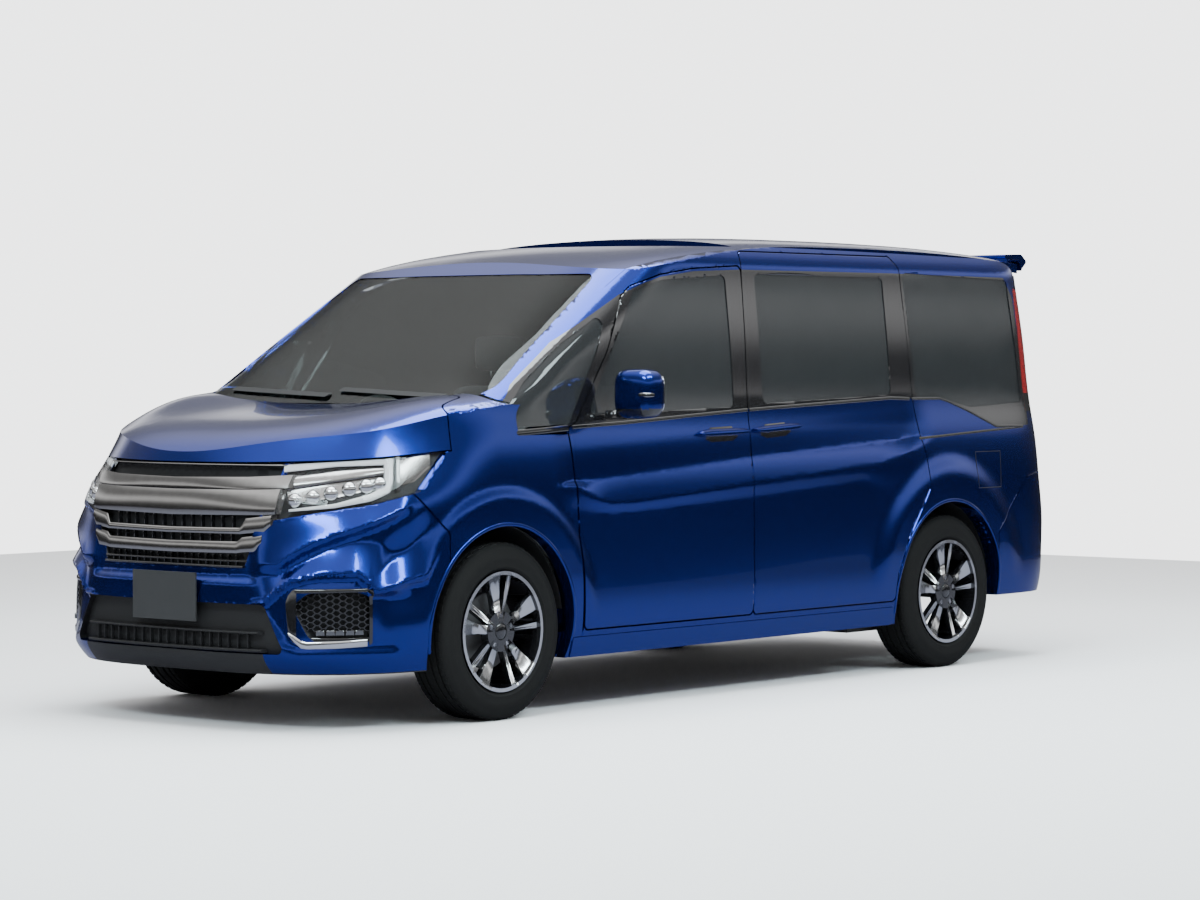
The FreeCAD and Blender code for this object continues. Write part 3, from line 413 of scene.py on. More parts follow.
def dressed(obj, body, node, slot, *mats):
    """Gives a skin its materials and its body, and hides the node it replaces; the slot argument is not used.
    """
    for mat in mats:
        obj.data.materials.append(mat)
    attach(obj, body)
    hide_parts(node)


# Doors, body sides and fenders: pressed steel. The frames round the side glass are gloss black down to
# the belt, so the glass reads as one dark band.
BLACKOUT = [
    (1560, 1048), (1468, 1120), (1342, 1229), (1094, 1387), (702, 1574), (543, 1623), (456, 1645),
    (242, 1672), (-60, 1684), (-1100, 1690), (-1990, 1688), (-2060, 1600), (-2100, 1200), (-2090, 1034),
    (-1811, 1034), (-1600, 1106), (-1460, 1146), (-1395, 1159), (-1184, 1158), (-1025, 1163), (1, 1124),
    (769, 1084), (1085, 1070)]


def side_face(x, y, z):
    return side_relief(x, z) * (1 - ease(z, 1050, 1190))


for side_node, shape_end in (("front_door", "screen"), ("slide_door", "screen"), ("body_side", "screen")):
    left = refined(side_node + "_left", shape_end, side_face, zones=[(BLACKOUT, 1)])
    right = mirrored_copy(left, side_node + "_right_skin")
    for obj, hand in ((left, "left"), (right, "right")):
        rides = side_node + "_" + hand if side_node == "front_door" else "body"
        dressed(obj, rides, side_node + "_" + hand, "paint", paint, gloss_black)
fender = refined("fender_left", "nose", side_face)
for obj, hand in ((fender, "left"), (mirrored_copy(fender, "fender_right_skin"), "right")):
    dressed(obj, "body", "fender_" + hand, "paint", paint)

# Rear bumper: a moulded cover in body paint that carries on the haunch over the rear wheel.
rear_bumper = refined("rear_bumper", "screen", side_face, step=24, across=True)
dressed(rear_bumper, "body", "rear_bumper", "paint", paint)

# Front bumper: a moulded plastic cover in body paint. A rounded shoulder runs under each headlamp, a brow
# stands out over each fog-lamp recess, a wedge leads to the wheel arch and a shelf lies below the grille.
# Heights are given against the way round the nose: millimetres across plus millimetres back.
LAMP_LOW = [(543, 745), (801, 788), (1098, 828), (1272, 867)]
SHOULDER = [(560, 600), (637, 639), (754, 681), (919, 722), (1037, 750), (1156, 785), (1272, 820)]
BROW_TOP = [(560, 560), (683, 606), (801, 647), (919, 672), (1036, 679), (1084, 670), (1150, 640)]
BROW = [(489, 470), (542, 505), (625, 548), (754, 567), (953, 570), (1013, 538), (1035, 505)]
WEDGE_TOP = [(1036, 545), (1072, 570), (1216, 642), (1388, 755)]
WEDGE_LOW = [(1036, 506), (1155, 531), (1313, 555), (1387, 671)]
FANG = [(263, 553), (338, 501), (420, 448), (476, 382)]
FANG_FOOT = [(301, 671), (324, 624), (365, 577), (409, 530), (480, 480)]


def run(points, s):
    """Straight-run value at s; points run upward in s."""
    if s <= points[0][0]:
        return points[0][1]
    for (s0, z0), (s1, z1) in zip(points, points[1:]):
        if s <= s1:
            return z0 + (z1 - z0) * (s - s0) / (s1 - s0)
    return points[-1][1]


def nose_relief(s, z):
    """How far the bumper stands out from its plain form at s round the nose and height z."""
    shoulder = run(SHOULDER, s)
    brow_top = run(BROW_TOP, s)
    brow = run(BROW, s)
    if z >= shoulder:
        out = 16 - 28 * min(1.0, (z - shoulder) / max(run(LAMP_LOW, s) - shoulder, 20)) ** 0.9
    elif z >= brow_top:
        out = 16 - 30 * ease(shoulder - z, 0, 44)
    elif z >= brow:
        out = -14 + 30 * min(1.0, (brow_top - z) / max(brow_top - brow, 20)) ** 1.1
    else:
        out = 16 - 28 * ease(brow - z, 0, 30)
        crease = run(FANG, z)
        out = max(out * ease(s, crease, run(FANG_FOOT, z)), -12)
        out = out + (2 - out) * ease(318 - z, 0, 56)
    out *= ease(s, 430, 600) * (1 - ease(s, 1130, 1250)) if z >= brow else (1 - ease(s, 1130, 1250))
    low = run(WEDGE_LOW, s)
    high = run(WEDGE_TOP, s)
    if z >= high:
        wedge = -12 * (1 - ease(z, high, high + 110))
    elif z >= low:
        wedge = -12 + 24 * (high - z) / max(high - low, 20)
    else:
        wedge = 12 - 20 * ease(low - z, 0, 34) + 8 * ease(low - z, 50, 210)
    out += wedge * ease(s, 1040, 1130) * (1 - ease(s, 1330, 1440))
    shelf = -16 * ease(z, 522, 552) * (1 - ease(z, 640, 700))
    return out + shelf * (1 - ease(s, 400, 470))


def nose_face(x, y, z):
    s = abs(y) + 2360 - x
    fade = ease(x, 1800, 1900)
    return min(nose_relief(s, z) * fade, 2374 - x if x > 2300 else 99) + side_relief(x, z) * (1 - fade)


def recess_shade_and_lip(middle, skin):
    """Index 1, satin black, for the openings' inner walls, painted dark as shade in the recesses, and for the
    black lip below; 0, paint, elsewhere.
    """
    s = abs(middle.y) + 2360 - middle.x
    # Painted shade: the inner walls of the fog-lamp and grille openings are satin black instead of body
    # paint.
    fog_wall_shade = 470 < s < 1070 and 285 < middle.z < 530
    grille_wall_shade = abs(middle.y) < 455 and middle.z > 560
    if skin:
        return 1 if middle.z < 209.4 or middle.z < 286.4 and abs(middle.y) < 462.4 else 0
    return 1 if fog_wall_shade or grille_wall_shade else 0


bumper = refined("front_bumper", "nose", nose_face, step=11, across=True, shade=recess_shade_and_lip)
dressed(bumper, "body", "front_bumper", "paint", paint, satin_black)


# Bars, strips and small blocks are laid on the drawn form. These functions give places round the nose, across
# it and along the side, and build closed bars, boxes, domes and turned shapes there.
def around(s, z, off=0.0, hand=1):
    """Place on the nose, s millimetres round from its middle, standing off millimetres out."""
    reach = nose_at(z) - NOSE_START
    width = half_at(z) - 6
    power = nose_round(z)
    low_t = 0.0
    high_t = math.pi / 2
    for _ in range(24):
        t = (low_t + high_t) / 2
        u = max(math.cos(t), 1e-6) ** (2 / power)
        v = math.sin(t) ** (2 / power)
        if width * v + 2360 - NOSE_START - u * reach < s:
            low_t = t
        else:
            high_t = t
    out = Vector((u ** (power - 1) / reach, v ** (power - 1) / width, 0)).normalized()
    return Vector((NOSE_START + u * reach + out.x * off, hand * (width * v + out.y * off), z)) / 1000


def front_spot(y, z, off=0.0):
    """Place on the nose at y, standing off millimetres out."""
    reach = nose_at(z) - NOSE_START
    width = half_at(z) - 6
    power = nose_round(z)
    v = min(abs(y) / width, 0.999)
    u = (1 - v ** power) ** (1 / power)
    out = Vector((u ** (power - 1) / reach, v ** (power - 1) / width, 0)).normalized()
    return Vector((NOSE_START + u * reach + out.x * off, y + math.copysign(out.y * off, y), z)) / 1000


def side_spot(x, z, off=0.0, hand=1):
    """Place on the side at x, standing off millimetres out of the pressed panel."""
    found = plan_corner(x, z, "screen")
    lift = off + side_face(x, 0, z)
    if not found:
        return Vector((x, hand * (half_at(z) - 6 * (x / NOSE_START) ** 2 + lift), z)) / 1000
    start, reach, width, power = found
    u = min((x - start) / (reach - start), 0.999)
    v = (1 - u ** power) ** (1 / power)
    out = Vector((u ** (power - 1) / (reach - start), v ** (power - 1) / width, 0)).normalized()
    return Vector((x + out.x * lift, hand * (width * v + out.y * lift), z)) / 1000


def strip(place, rows, lift, crown, depth, step=16, index=0):
    """Closed crowned bar; rows are (way along, lower edge, upper edge)."""
    stations = []
    for (c0, l0, h0), (c1, l1, h1) in zip(rows, rows[1:]):
        count = max(1, round(abs(c1 - c0) / step))
        for i in range(count):
            t = i / count
            stations.append((c0 + (c1 - c0) * t, l0 + (l1 - l0) * t, h0 + (h1 - h0) * t))
    stations.append(rows[-1])
    shares = (0, 0.08, 0.25, 0.5, 0.75, 0.92, 1)
    verts = []
    for c, lower, upper in stations:
        verts.append(place(c, lower, -depth))
        for t in shares:
            verts.append(place(c, lower + (upper - lower) * t, lift + crown * (1 - (2 * t - 1) ** 4)))
        verts.append(place(c, upper, -depth))
    ring = len(shares) + 2
    faces = []
    for k in range(len(stations) - 1):
        for j in range(ring):
            a = k * ring + j
            b = k * ring + (j + 1) % ring
            faces.append((a, b, b + ring, a + ring))
    faces.append(tuple(range(ring)))
    faces.append(tuple(range(len(verts) - ring, len(verts))))
    return verts, faces, index


def built(name, parts, mats, body, angle=35, replaced=()):
    """One object from several (vertices, faces, material index) pieces, faces turned outward."""
    bm = bmesh.new()
    for verts, faces, index in parts:
        made = [bm.verts.new(v) for v in verts]
        for face in faces:
            bm.faces.new([made[i] for i in face]).material_index = index
    bmesh.ops.recalc_face_normals(bm, faces=bm.faces)
    data = bpy.data.meshes.new(name)
    for f in bm.faces:
        f.smooth = True
    bm.to_mesh(data)
    bm.free()
    data.set_sharp_from_angle(angle=math.radians(angle))
    for mat in mats:
        data.materials.append(mat)
    obj = link(bpy.data.objects.new(name, data))
    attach(obj, body)
    if replaced:
        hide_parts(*replaced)
    return obj


def block(centre, size, frame_at=None, index=0):
    """Box with cut corners in millimetres about a centre, turned by a 3x3 matrix."""
    half = Vector(size) / 2
    cut = min(size) * 0.18
    long_x = half.x - cut
    long_y = half.y - cut
    outline = [(-long_x, -half.y), (long_x, -half.y), (half.x, -long_y), (half.x, long_y),
               (long_x, half.y), (-long_x, half.y), (-half.x, long_y), (-half.x, -long_y)]
    verts = []
    for z, shrink in ((-half.z, 1), (half.z - cut, 1), (half.z, 0.86)):
        verts += [Vector((x * shrink, y * shrink, z)) for x, y in outline]
    if frame_at:
        verts = [frame_at @ v for v in verts]
    verts = [(Vector(centre) + v) / 1000 for v in verts]
    faces = [tuple(range(8)), tuple(range(16, 24))]
    for k in (0, 8):
        faces += [(k + i, k + (i + 1) % 8, k + 8 + (i + 1) % 8, k + 8 + i) for i in range(8)]
    return verts, faces, index


def stands(place, a, z):
    """Centre in millimetres and axes (along, up, out) of the form at a point."""
    here = place(a, z, 0) * 1000
    out = (place(a, z, 10) * 1000 - here).normalized()
    up = Vector((0, 0, 1))
    along = up.cross(out).normalized()
    up = out.cross(along).normalized()
    return here, Matrix((along, up, out)).transposed()


# One Geometry Nodes tree sets copies of a small piece on given places: cells, lenses, blocks, nuts.
def scatter_tree():
    tree = bpy.data.node_groups.new("set_out", "GeometryNodeTree")
    tree.interface.new_socket(name="Geometry", in_out="INPUT", socket_type="NodeSocketGeometry")
    for label, kind in (("Piece", "Object"), ("Size", "Float"), ("Finish", "Material")):
        tree.interface.new_socket(name=label, in_out="INPUT", socket_type="NodeSocket" + kind)
    tree.interface.new_socket(name="Geometry", in_out="OUTPUT", socket_type="NodeSocketGeometry")
    given = tree.nodes.new("NodeGroupInput")
    result = tree.nodes.new("NodeGroupOutput")
    info = tree.nodes.new("GeometryNodeObjectInfo")
    turn = tree.nodes.new("GeometryNodeInputNamedAttribute")
    turn.data_type = "FLOAT_VECTOR"
    turn.inputs["Name"].default_value = "turn"
    copies = tree.nodes.new("GeometryNodeInstanceOnPoints")
    real = tree.nodes.new("GeometryNodeRealizeInstances")
    finish = tree.nodes.new("GeometryNodeSetMaterial")
    tree.links.new(given.outputs["Geometry"], copies.inputs["Points"])
    tree.links.new(given.outputs["Piece"], info.inputs["Object"])
    tree.links.new(info.outputs["Geometry"], copies.inputs["Instance"])
    tree.links.new(turn.outputs[0], copies.inputs["Rotation"])
    tree.links.new(given.outputs["Size"], copies.inputs["Scale"])
    tree.links.new(copies.outputs[0], real.inputs[0])
    tree.links.new(real.outputs[0], finish.inputs["Geometry"])
    tree.links.new(given.outputs["Finish"], finish.inputs["Material"])
    tree.links.new(finish.outputs[0], result.inputs["Geometry"])
    return tree


set_out = scatter_tree()


def scattered(name, places, piece, mat, body, size=1.0, replaced=()):
    """Copies of a piece (vertices, faces, index) at (centre in mm, 3x3 axes) places, as one plain mesh."""
    proto_mesh = bpy.data.meshes.new(name + "_piece")
    bm = bmesh.new()
    made = [bm.verts.new(v) for v in piece[0]]
    for face in piece[1]:
        bm.faces.new([made[i] for i in face])
    bmesh.ops.recalc_face_normals(bm, faces=bm.faces)
    bm.to_mesh(proto_mesh)
    bm.free()
    proto = link(bpy.data.objects.new(name + "_piece", proto_mesh))
    cloud = bpy.data.meshes.new(name + "_places")
    cloud.from_pydata([tuple(centre / 1000) for centre, _ in places], [], [])
    turn = cloud.attributes.new("turn", "FLOAT_VECTOR", "POINT")
    for item, (_, axes) in zip(turn.data, places):
        item.vector = tuple(axes.to_euler())
    host = link(bpy.data.objects.new(name + "_places", cloud))
    mod = host.modifiers.new("set_out", "NODES")
    mod.node_group = set_out
    values = {"Piece": proto, "Size": size, "Finish": mat}
    for socket in set_out.interface.items_tree:
        if socket.in_out == "INPUT" and socket.name in values:
            mod[socket.identifier] = values[socket.name]
    depth_graph = bpy.context.evaluated_depsgraph_get()
    data = bpy.data.meshes.new_from_object(host.evaluated_get(depth_graph))
    data.name = name
    obj = link(bpy.data.objects.new(name, data))
    bpy.data.objects.remove(host)
    bpy.data.objects.remove(proto)
    data.shade_smooth()
    data.set_sharp_from_angle(angle=math.radians(30))
    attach(obj, body)
    if replaced:
        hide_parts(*replaced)
    return obj


def spin(profile, count, index=0, close=False):
    """Surface turned about the Y axis from (radius, y) points in millimetres, about the origin."""
    verts = []
    for k in range(count):
        angle = 2 * math.pi * k / count
        verts += [Vector((r * math.cos(angle), y, r * math.sin(angle))) / 1000 for r, y in profile]
    n = len(profile)
    faces = []
    for k in range(count):
        for j in range(n if close else n - 1):
            a = k * n + j
            b = k * n + (j + 1) % n
            c = ((k + 1) % count) * n
            faces.append((a, b, c + (j + 1) % n, c + j))
    return verts, faces, index


def dome(radius, high, around_count=12, rings=3):
    """Low dome facing +Z, closed below, in millimetres."""
    verts = [Vector((0, 0, high)) / 1000]
    for k in range(1, rings + 1):
        a = math.pi / 2 * k / rings
        for j in range(around_count):
            b = 2 * math.pi * j / around_count
            verts.append(Vector((radius * math.sin(a) * math.cos(b), radius * math.sin(a) * math.sin(b),
                                 high * math.cos(a))) / 1000)
    faces = [(0, 1 + j, 1 + (j + 1) % around_count) for j in range(around_count)]
    for k in range(rings - 1):
        base = 1 + k * around_count
        for j in range(around_count):
            nxt = (j + 1) % around_count
            faces.append((base + j, base + around_count + j, base + around_count + nxt, base + nxt))
    last = 1 + (rings - 1) * around_count
    faces.append(tuple(range(last, last + around_count)))
    return verts, faces, 0


def on_bumper(hand):
    return lambda s, z, off: around(s, z, off + nose_relief(s, z), hand)


def on_nose(hand):
    return lambda s, z, off: around(s, z, off, hand)


# Grille: smoked chrome blades over a black recessed backing with upright fins. The broad wing at the top
# runs on into the headlamps; the two bars below widen at their ends.
smoked_chrome = finish_of("smoked_chrome", (0.30, 0.295, 0.29), (0.36, 0.355, 0.35), 30, (0.16, 0.2),
                          Metallic=1.0)
bright_chrome = finish_of("bright_chrome", (0.68, 0.69, 0.70), (0.74, 0.75, 0.76), 30, (0.06, 0.1),
                          Metallic=1.0)
backing = refined("grille", "nose", lambda x, y, z: -30.0, step=30, across=True)
dressed(backing, "body", "grille", "black_plastic", grained_black)
blades = [
    strip(front_spot, [(-496, 866, 912), (-340, 862, 904), (0, 860, 899), (340, 862, 904), (496, 866, 912)],
          1.0, 1.5, 26),
    strip(front_spot, [(-474, 774, 864), (-430, 771, 862), (0, 764, 857), (430, 771, 862), (474, 774, 864)],
          -2.5, 6.5, 26),
    strip(front_spot, [(-464, 735, 770), (-440, 712, 767), (-362, 704, 757), (-342, 702, 724), (0, 699, 720),
                       (342, 702, 724), (362, 704, 757), (440, 712, 767), (464, 735, 770)], -2, 4, 24, 12),
    strip(front_spot, [(-434, 670, 700), (-406, 641, 697), (-352, 637, 690), (-334, 634, 675), (0, 630, 671),
                       (334, 634, 675), (352, 637, 690), (406, 641, 697), (434, 670, 700)], -2, 4, 24, 12),
    strip(front_spot, [(-448, 944, 948), (448, 944, 948)], 0, 1, 20)]
built("grille_blades", blades, [smoked_chrome], "body")
fins = []
for low_z, high_z in ((724, 764), (675, 700)):
    for k in range(-6, 7):
        here, axes = stands(front_spot, k * 50 + 0.1, (low_z + high_z) / 2)
        fins.append(block(here - axes @ Vector((0, 0, 18)), (5, high_z - low_z + 4, 16), axes))
for k in range(-9, 10):
    here, axes = stands(front_spot, k * 36 + 0.1, 606)
    fins.append(block(here - axes @ Vector((0, 0, 22)), (4, 42, 12), axes))
fins.append(strip(front_spot, [(-366, 602, 608), (366, 602, 608)], -16, 1, 26))
fins.append(strip(front_spot, [(-360, 581, 589), (360, 581, 589)], -8, 2, 26))
built("grille_fins", fins, [gloss_black], "body")

# Headlamps: a black plastic housing behind a clear moulded cover, with a white light guide shaped like a
# bracket, a chrome limb that carries on the grille wing, six projector lenses and a side compartment.
# The light guide glows faintly though the lamps are off: a painted glow that keeps it bright white.
lamp_white = finish_of("light_guide", (0.50, 0.52, 0.54), (0.56, 0.58, 0.60), 40, (0.2, 0.3), Coat_Weight=0.4,
                       Emission_Strength=0.12, Emission_Color=(0.9, 0.95, 1.0, 1))
cover_glass = finish_of("cover_glass", (0.97, 0.97, 0.97), (0.98, 0.98, 0.98), 3, (0.0, 0.0),
                        Transmission_Weight=1.0, IOR=1.03, Coat_Weight=0.3, Coat_Roughness=0.01)
reflector = finish_of("reflector", (0.22, 0.225, 0.23), (0.30, 0.305, 0.31), 60, (0.08, 0.16), Metallic=1.0)
housing = refined("headlamps", "nose", lambda x, y, z: -26.0, step=40, across=True)
dressed(housing, "body", "headlamps", "lamp_lens", satin_black)
UPPER_BAR = [(590, 921, 947), (862, 941, 958), (1120, 946, 967), (1146, 947, 968)]
LIMB = [(640, 868, 906), (861, 889, 927), (1086, 910, 937), (1098, 914, 934)]
for hand, side_name in ((1, "left"), (-1, "right")):
    place = on_nose(hand)
    lamp_parts = [strip(place, UPPER_BAR, -12, 3, 24, 20, 1), strip(place, LIMB, -10, 5, 24, 20, 2),
                  strip(place, [(612, 783, 792), (849, 797, 812), (1036, 820, 846), (1090, 836, 866),
                                (1130, 850, 900)], -12, 4, 24, 20, 0),
                  strip(place, [(1100, 842, 965), (1118, 852, 968), (1142, 880, 969)], -11, 4, 24, 9, 0),
                  strip(place, [(600, 812, 862), (720, 822, 876), (861, 834, 884), (1086, 866, 905)],
                        -22, -3, 25, 24, 2),
                  strip(place, [(1185, 872, 962), (1260, 885, 985), (1340, 930, 1003)], -20, 3, 25, 16, 2),
                  strip(place, [(1160, 845, 980), (1176, 852, 982)], -6, 2, 24, 8, 3)]
    built("lamp_guides_" + side_name, lamp_parts, [lamp_white, lamp_white, smoked_chrome, gloss_black],
          "body")
    lenses = []
    for s, z in ((637, 822), (731, 832), (825, 845), (920, 860), (1009, 869), (1080, 876)):
        here, axes = stands(place, s, z)
        lenses.append((here - axes @ Vector((0, 0, 19)), axes))
    scattered("lamp_lenses_" + side_name, lenses, dome(27, 17, 14, 4), bright_chrome, "body")
    if hand == 1:
        cover = refined("headlamps", "nose", lambda x, y, z: -0.5, step=24, across=True)
        sheet = bmesh.new()
        sheet.from_mesh(cover.data)
        extra = [f for f in sheet.faces
                 if max(abs(on_form(*(v.co * 1000), "nose")[2]) for v in f.verts) > 3]
        bmesh.ops.delete(sheet, geom=extra, context="FACES")
        sheet.to_mesh(cover.data)
        sheet.free()
        cover.data.materials.append(cover_glass)
        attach(cover, "body")

# Fog-lamp recesses and lower intake: gloss black bezels, a mesh of six-sided cells, five small lamps and a
# chrome strip bent under each; one slim strip and fins across the middle intake.
hexagon = [(math.cos(math.pi / 3 * k), math.sin(math.pi / 3 * k)) for k in range(6)]
cell_verts = []
for size_out, deep in ((20, 0), (16, 0), (14.5, -9), (20, -9)):
    cell_verts += [Vector((x * size_out, y * size_out * 0.62, deep)) / 1000 for x, y in hexagon]
cell_faces = []
for ring_at in range(4):
    low_ring = ring_at * 6
    next_ring = ((ring_at + 1) % 4) * 6
    for i in range(6):
        j = (i + 1) % 6
        cell_faces.append((low_ring + i, low_ring + j, next_ring + j, next_ring + i))
for hand, side_name in ((1, "left"), (-1, "right")):
    place = on_bumper(hand)
    deep = on_nose(hand)
    cells = []
    for row in range(7):
        for col in range(13):
            s = 622 + col * 33
            z = 374 + row * 21.5 + (10.7 if col % 2 else 0)
            if z < 498 and s < 1024 - (8 if z > 480 else 0):
                here, axes = stands(deep, s, z)
                cells.append((here - axes @ Vector((0, 0, 13)), axes))
    scattered("fog_mesh_" + side_name, cells, (cell_verts, cell_faces, 0), gloss_black, "body")
    lamps = []
    for s in (770, 823, 870, 922, 970):
        here, axes = stands(deep, s, 358)
        lamps.append((here - axes @ Vector((0, 0, 12)), axes))
    scattered("fog_lamps_" + side_name, lamps, block((0, 0, 0), (30, 18, 10)), reflector, "body")
    bezel = [strip(place, [(594, 436, 466), (606, 352, 490), (628, 326, 508), (648, 318, 512)],
                   0.5, 2.0, 20, 12),
             strip(place, [(640, 497, 512), (1012, 500, 514), (1030, 492, 506), (1038, 478, 490)], 1, 3, 20),
             strip(place, [(1021, 312, 486), (1038, 318, 488)], 1, 3, 20),
             strip(place, [(640, 316, 340), (1024, 316, 338)], -6, 2, 20)]
    built("fog_bezel_" + side_name, bezel, [gloss_black], "body")
    built("fog_strip_" + side_name,
          [strip(place, [(608, 348, 360), (640, 322, 346), (672, 304, 330), (700, 301, 326), (860, 303, 328),
                         (1010, 308, 333)], 2, 3, 24, 14)], [bright_chrome], "body")
intake = [strip(front_spot, [(-440, 350, 358), (440, 350, 358)], -4, 3, 30)]
for k in range(-9, 10):
    here, axes = stands(front_spot, k * 44 + 0.1, 320)
    intake.append(block(here - axes @ Vector((0, 0, 20)), (4, 60, 14), axes))
intake.append(strip(front_spot, [(-452, 284, 296), (452, 284, 296)], -8, 4, 30))
built("intake_bars", intake, [satin_black], "body")

# Wheels: cast alloy rims, gloss black with machined spoke faces and lip; five nuts and a bare cap. The
# tyres are moulded rubber; TREAD is half of their profile as (radius, y) points, with four grooves in all.
rubber = finish_of("tyre_rubber", (0.005, 0.005, 0.005), (0.010, 0.010, 0.010), 120, (0.62, 0.78), 0.0003,
                   Specular_IOR_Level=0.12)
machined = finish_of("machined_alloy", (0.62, 0.63, 0.64), (0.72, 0.73, 0.74), 400, (0.16, 0.24),
                     Metallic=1.0)
TREAD = [(222, 80), (227, 92), (238, 99), (243, 98), (262, 102), (286, 101), (290, 98), (304, 95),
         (315, 88), (322, 79), (325, 70), (326, 57), (319, 56), (319, 49), (326.4, 48), (326.8, 27),
         (320, 26), (320, 17), (326.8, 16)]
tread_line = TREAD + [(r, -y) for r, y in reversed(TREAD)]
TRACK_HALF = 735
NUT_CIRCLE = 57
for wheel_name, axle, hand in (("front_left", FRONT_AXLE, 1), ("front_right", FRONT_AXLE, -1),
                               ("rear_left", REAR_AXLE, 1), ("rear_right", REAR_AXLE, -1)):
    hub = Vector((axle / 1000, hand * TRACK_HALF / 1000, WHEEL_HIGH / 1000))
    body = "wheel_" + wheel_name
    rim = bpy.data.meshes.new("rim_faces_" + wheel_name)
    bm = bmesh.new()
    bm.from_mesh(nodes["rim_" + wheel_name].data)
    bmesh.ops.remove_doubles(bm, verts=bm.verts, dist=0.00002)
    bm.normal_update()
    hub_face = 0.0
    for f in bm.faces:
        middle = f.calc_center_median() - hub
        radius = math.hypot(middle.x, middle.z)
        front = f.normal.y * hand > 0.7 and middle.y * hand > 0.035
        f.material_index = 1 if front and radius > 0.078 else 0
        f.smooth = True
        if radius < 0.06:
            hub_face = max(hub_face, middle.y * hand)
    bm.to_mesh(rim)
    bm.free()
    rim.set_sharp_from_angle(angle=math.radians(30))
    rim.materials.append(gloss_black)
    rim.materials.append(machined)
    rim_obj = link(bpy.data.objects.new("rim_faces_" + wheel_name, rim))
    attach(rim_obj, body)
    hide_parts("rim_" + wheel_name)
    verts, faces, index = spin(tread_line, 72, close=True)
    tyre_parts = [([v + hub for v in verts], faces, index)]
    built("tyre_tread_" + wheel_name, tyre_parts, [rubber], body, 40, ["tyre_" + wheel_name])
    lugs = []
    for k in range(60):
        for across_y, lean in ((66, 0.0), (-66, 0.05)):
            angle = 2 * math.pi * k / 60 + lean
            out = Vector((math.cos(angle), 0, math.sin(angle)))
            axes = Matrix((out.cross(Vector((0, 1, 0))), Vector((0, 1, 0)), out)).transposed()
            lugs.append((hub * 1000 + out * 324.3 + Vector((0, across_y, 0)), axes))
    scattered("tyre_blocks_" + wheel_name, lugs, block((0, 0, 0), (25, 20, 5)), rubber, body)
    nuts = []
    out = Vector((0, hand, 0))
    axes = Matrix((Vector((hand, 0, 0)), Vector((0, 0, 1)), out)).transposed()
    for k in range(5):
        angle = 2 * math.pi * (k + 0.25) / 5
        ring_x = NUT_CIRCLE * math.cos(angle)
        ring_z = NUT_CIRCLE * math.sin(angle)
        spot = hub * 1000 + Vector((ring_x, hand * hub_face * 1000, ring_z))
        nuts.append((spot, axes))
    scattered("wheel_nuts_" + wheel_name, nuts, dome(9.5, 9, 6, 2), bright_chrome, body)
    cap = dome(29, 5, 28, 4)
    cap_verts = [axes @ v + hub + Vector((0, hand * hub_face, 0)) for v in cap[0]]
    built("wheel_cap_" + wheel_name, [(cap_verts, cap[1], 0)], [gloss_black], body)

# Side trim: body-coloured pull handles over gloss black sheets that are painted shade for the recesses behind
# them, black belt mouldings, the cover of the sliding doors' rear rail, rolled lips round the wheel arches
# and, on the left side, the fuel flap's seam.
BELT = [(1560, 1046), (1085, 1070), (769, 1083), (1, 1123), (-1025, 1164), (-1184, 1159), (-1395, 1159),
        (-1460, 1145), (-1600, 1105), (-1811, 1033), (-2030, 1032)]
ARCH_IN = 387
ARCH_OUT = 401


def belt_rows(x_front, x_rear, low_by, high_by):
    """Rows of a strip that follows the belt line, so far below and above it."""
    inner = [x for x, _ in BELT if x_rear < x < x_front]
    return [(x, line_at(BELT, x) - low_by, line_at(BELT, x) + high_by) for x in [x_front] + inner + [x_rear]]


def on_side(hand):
    return lambda x, z, off: side_spot(x, z, off, hand)


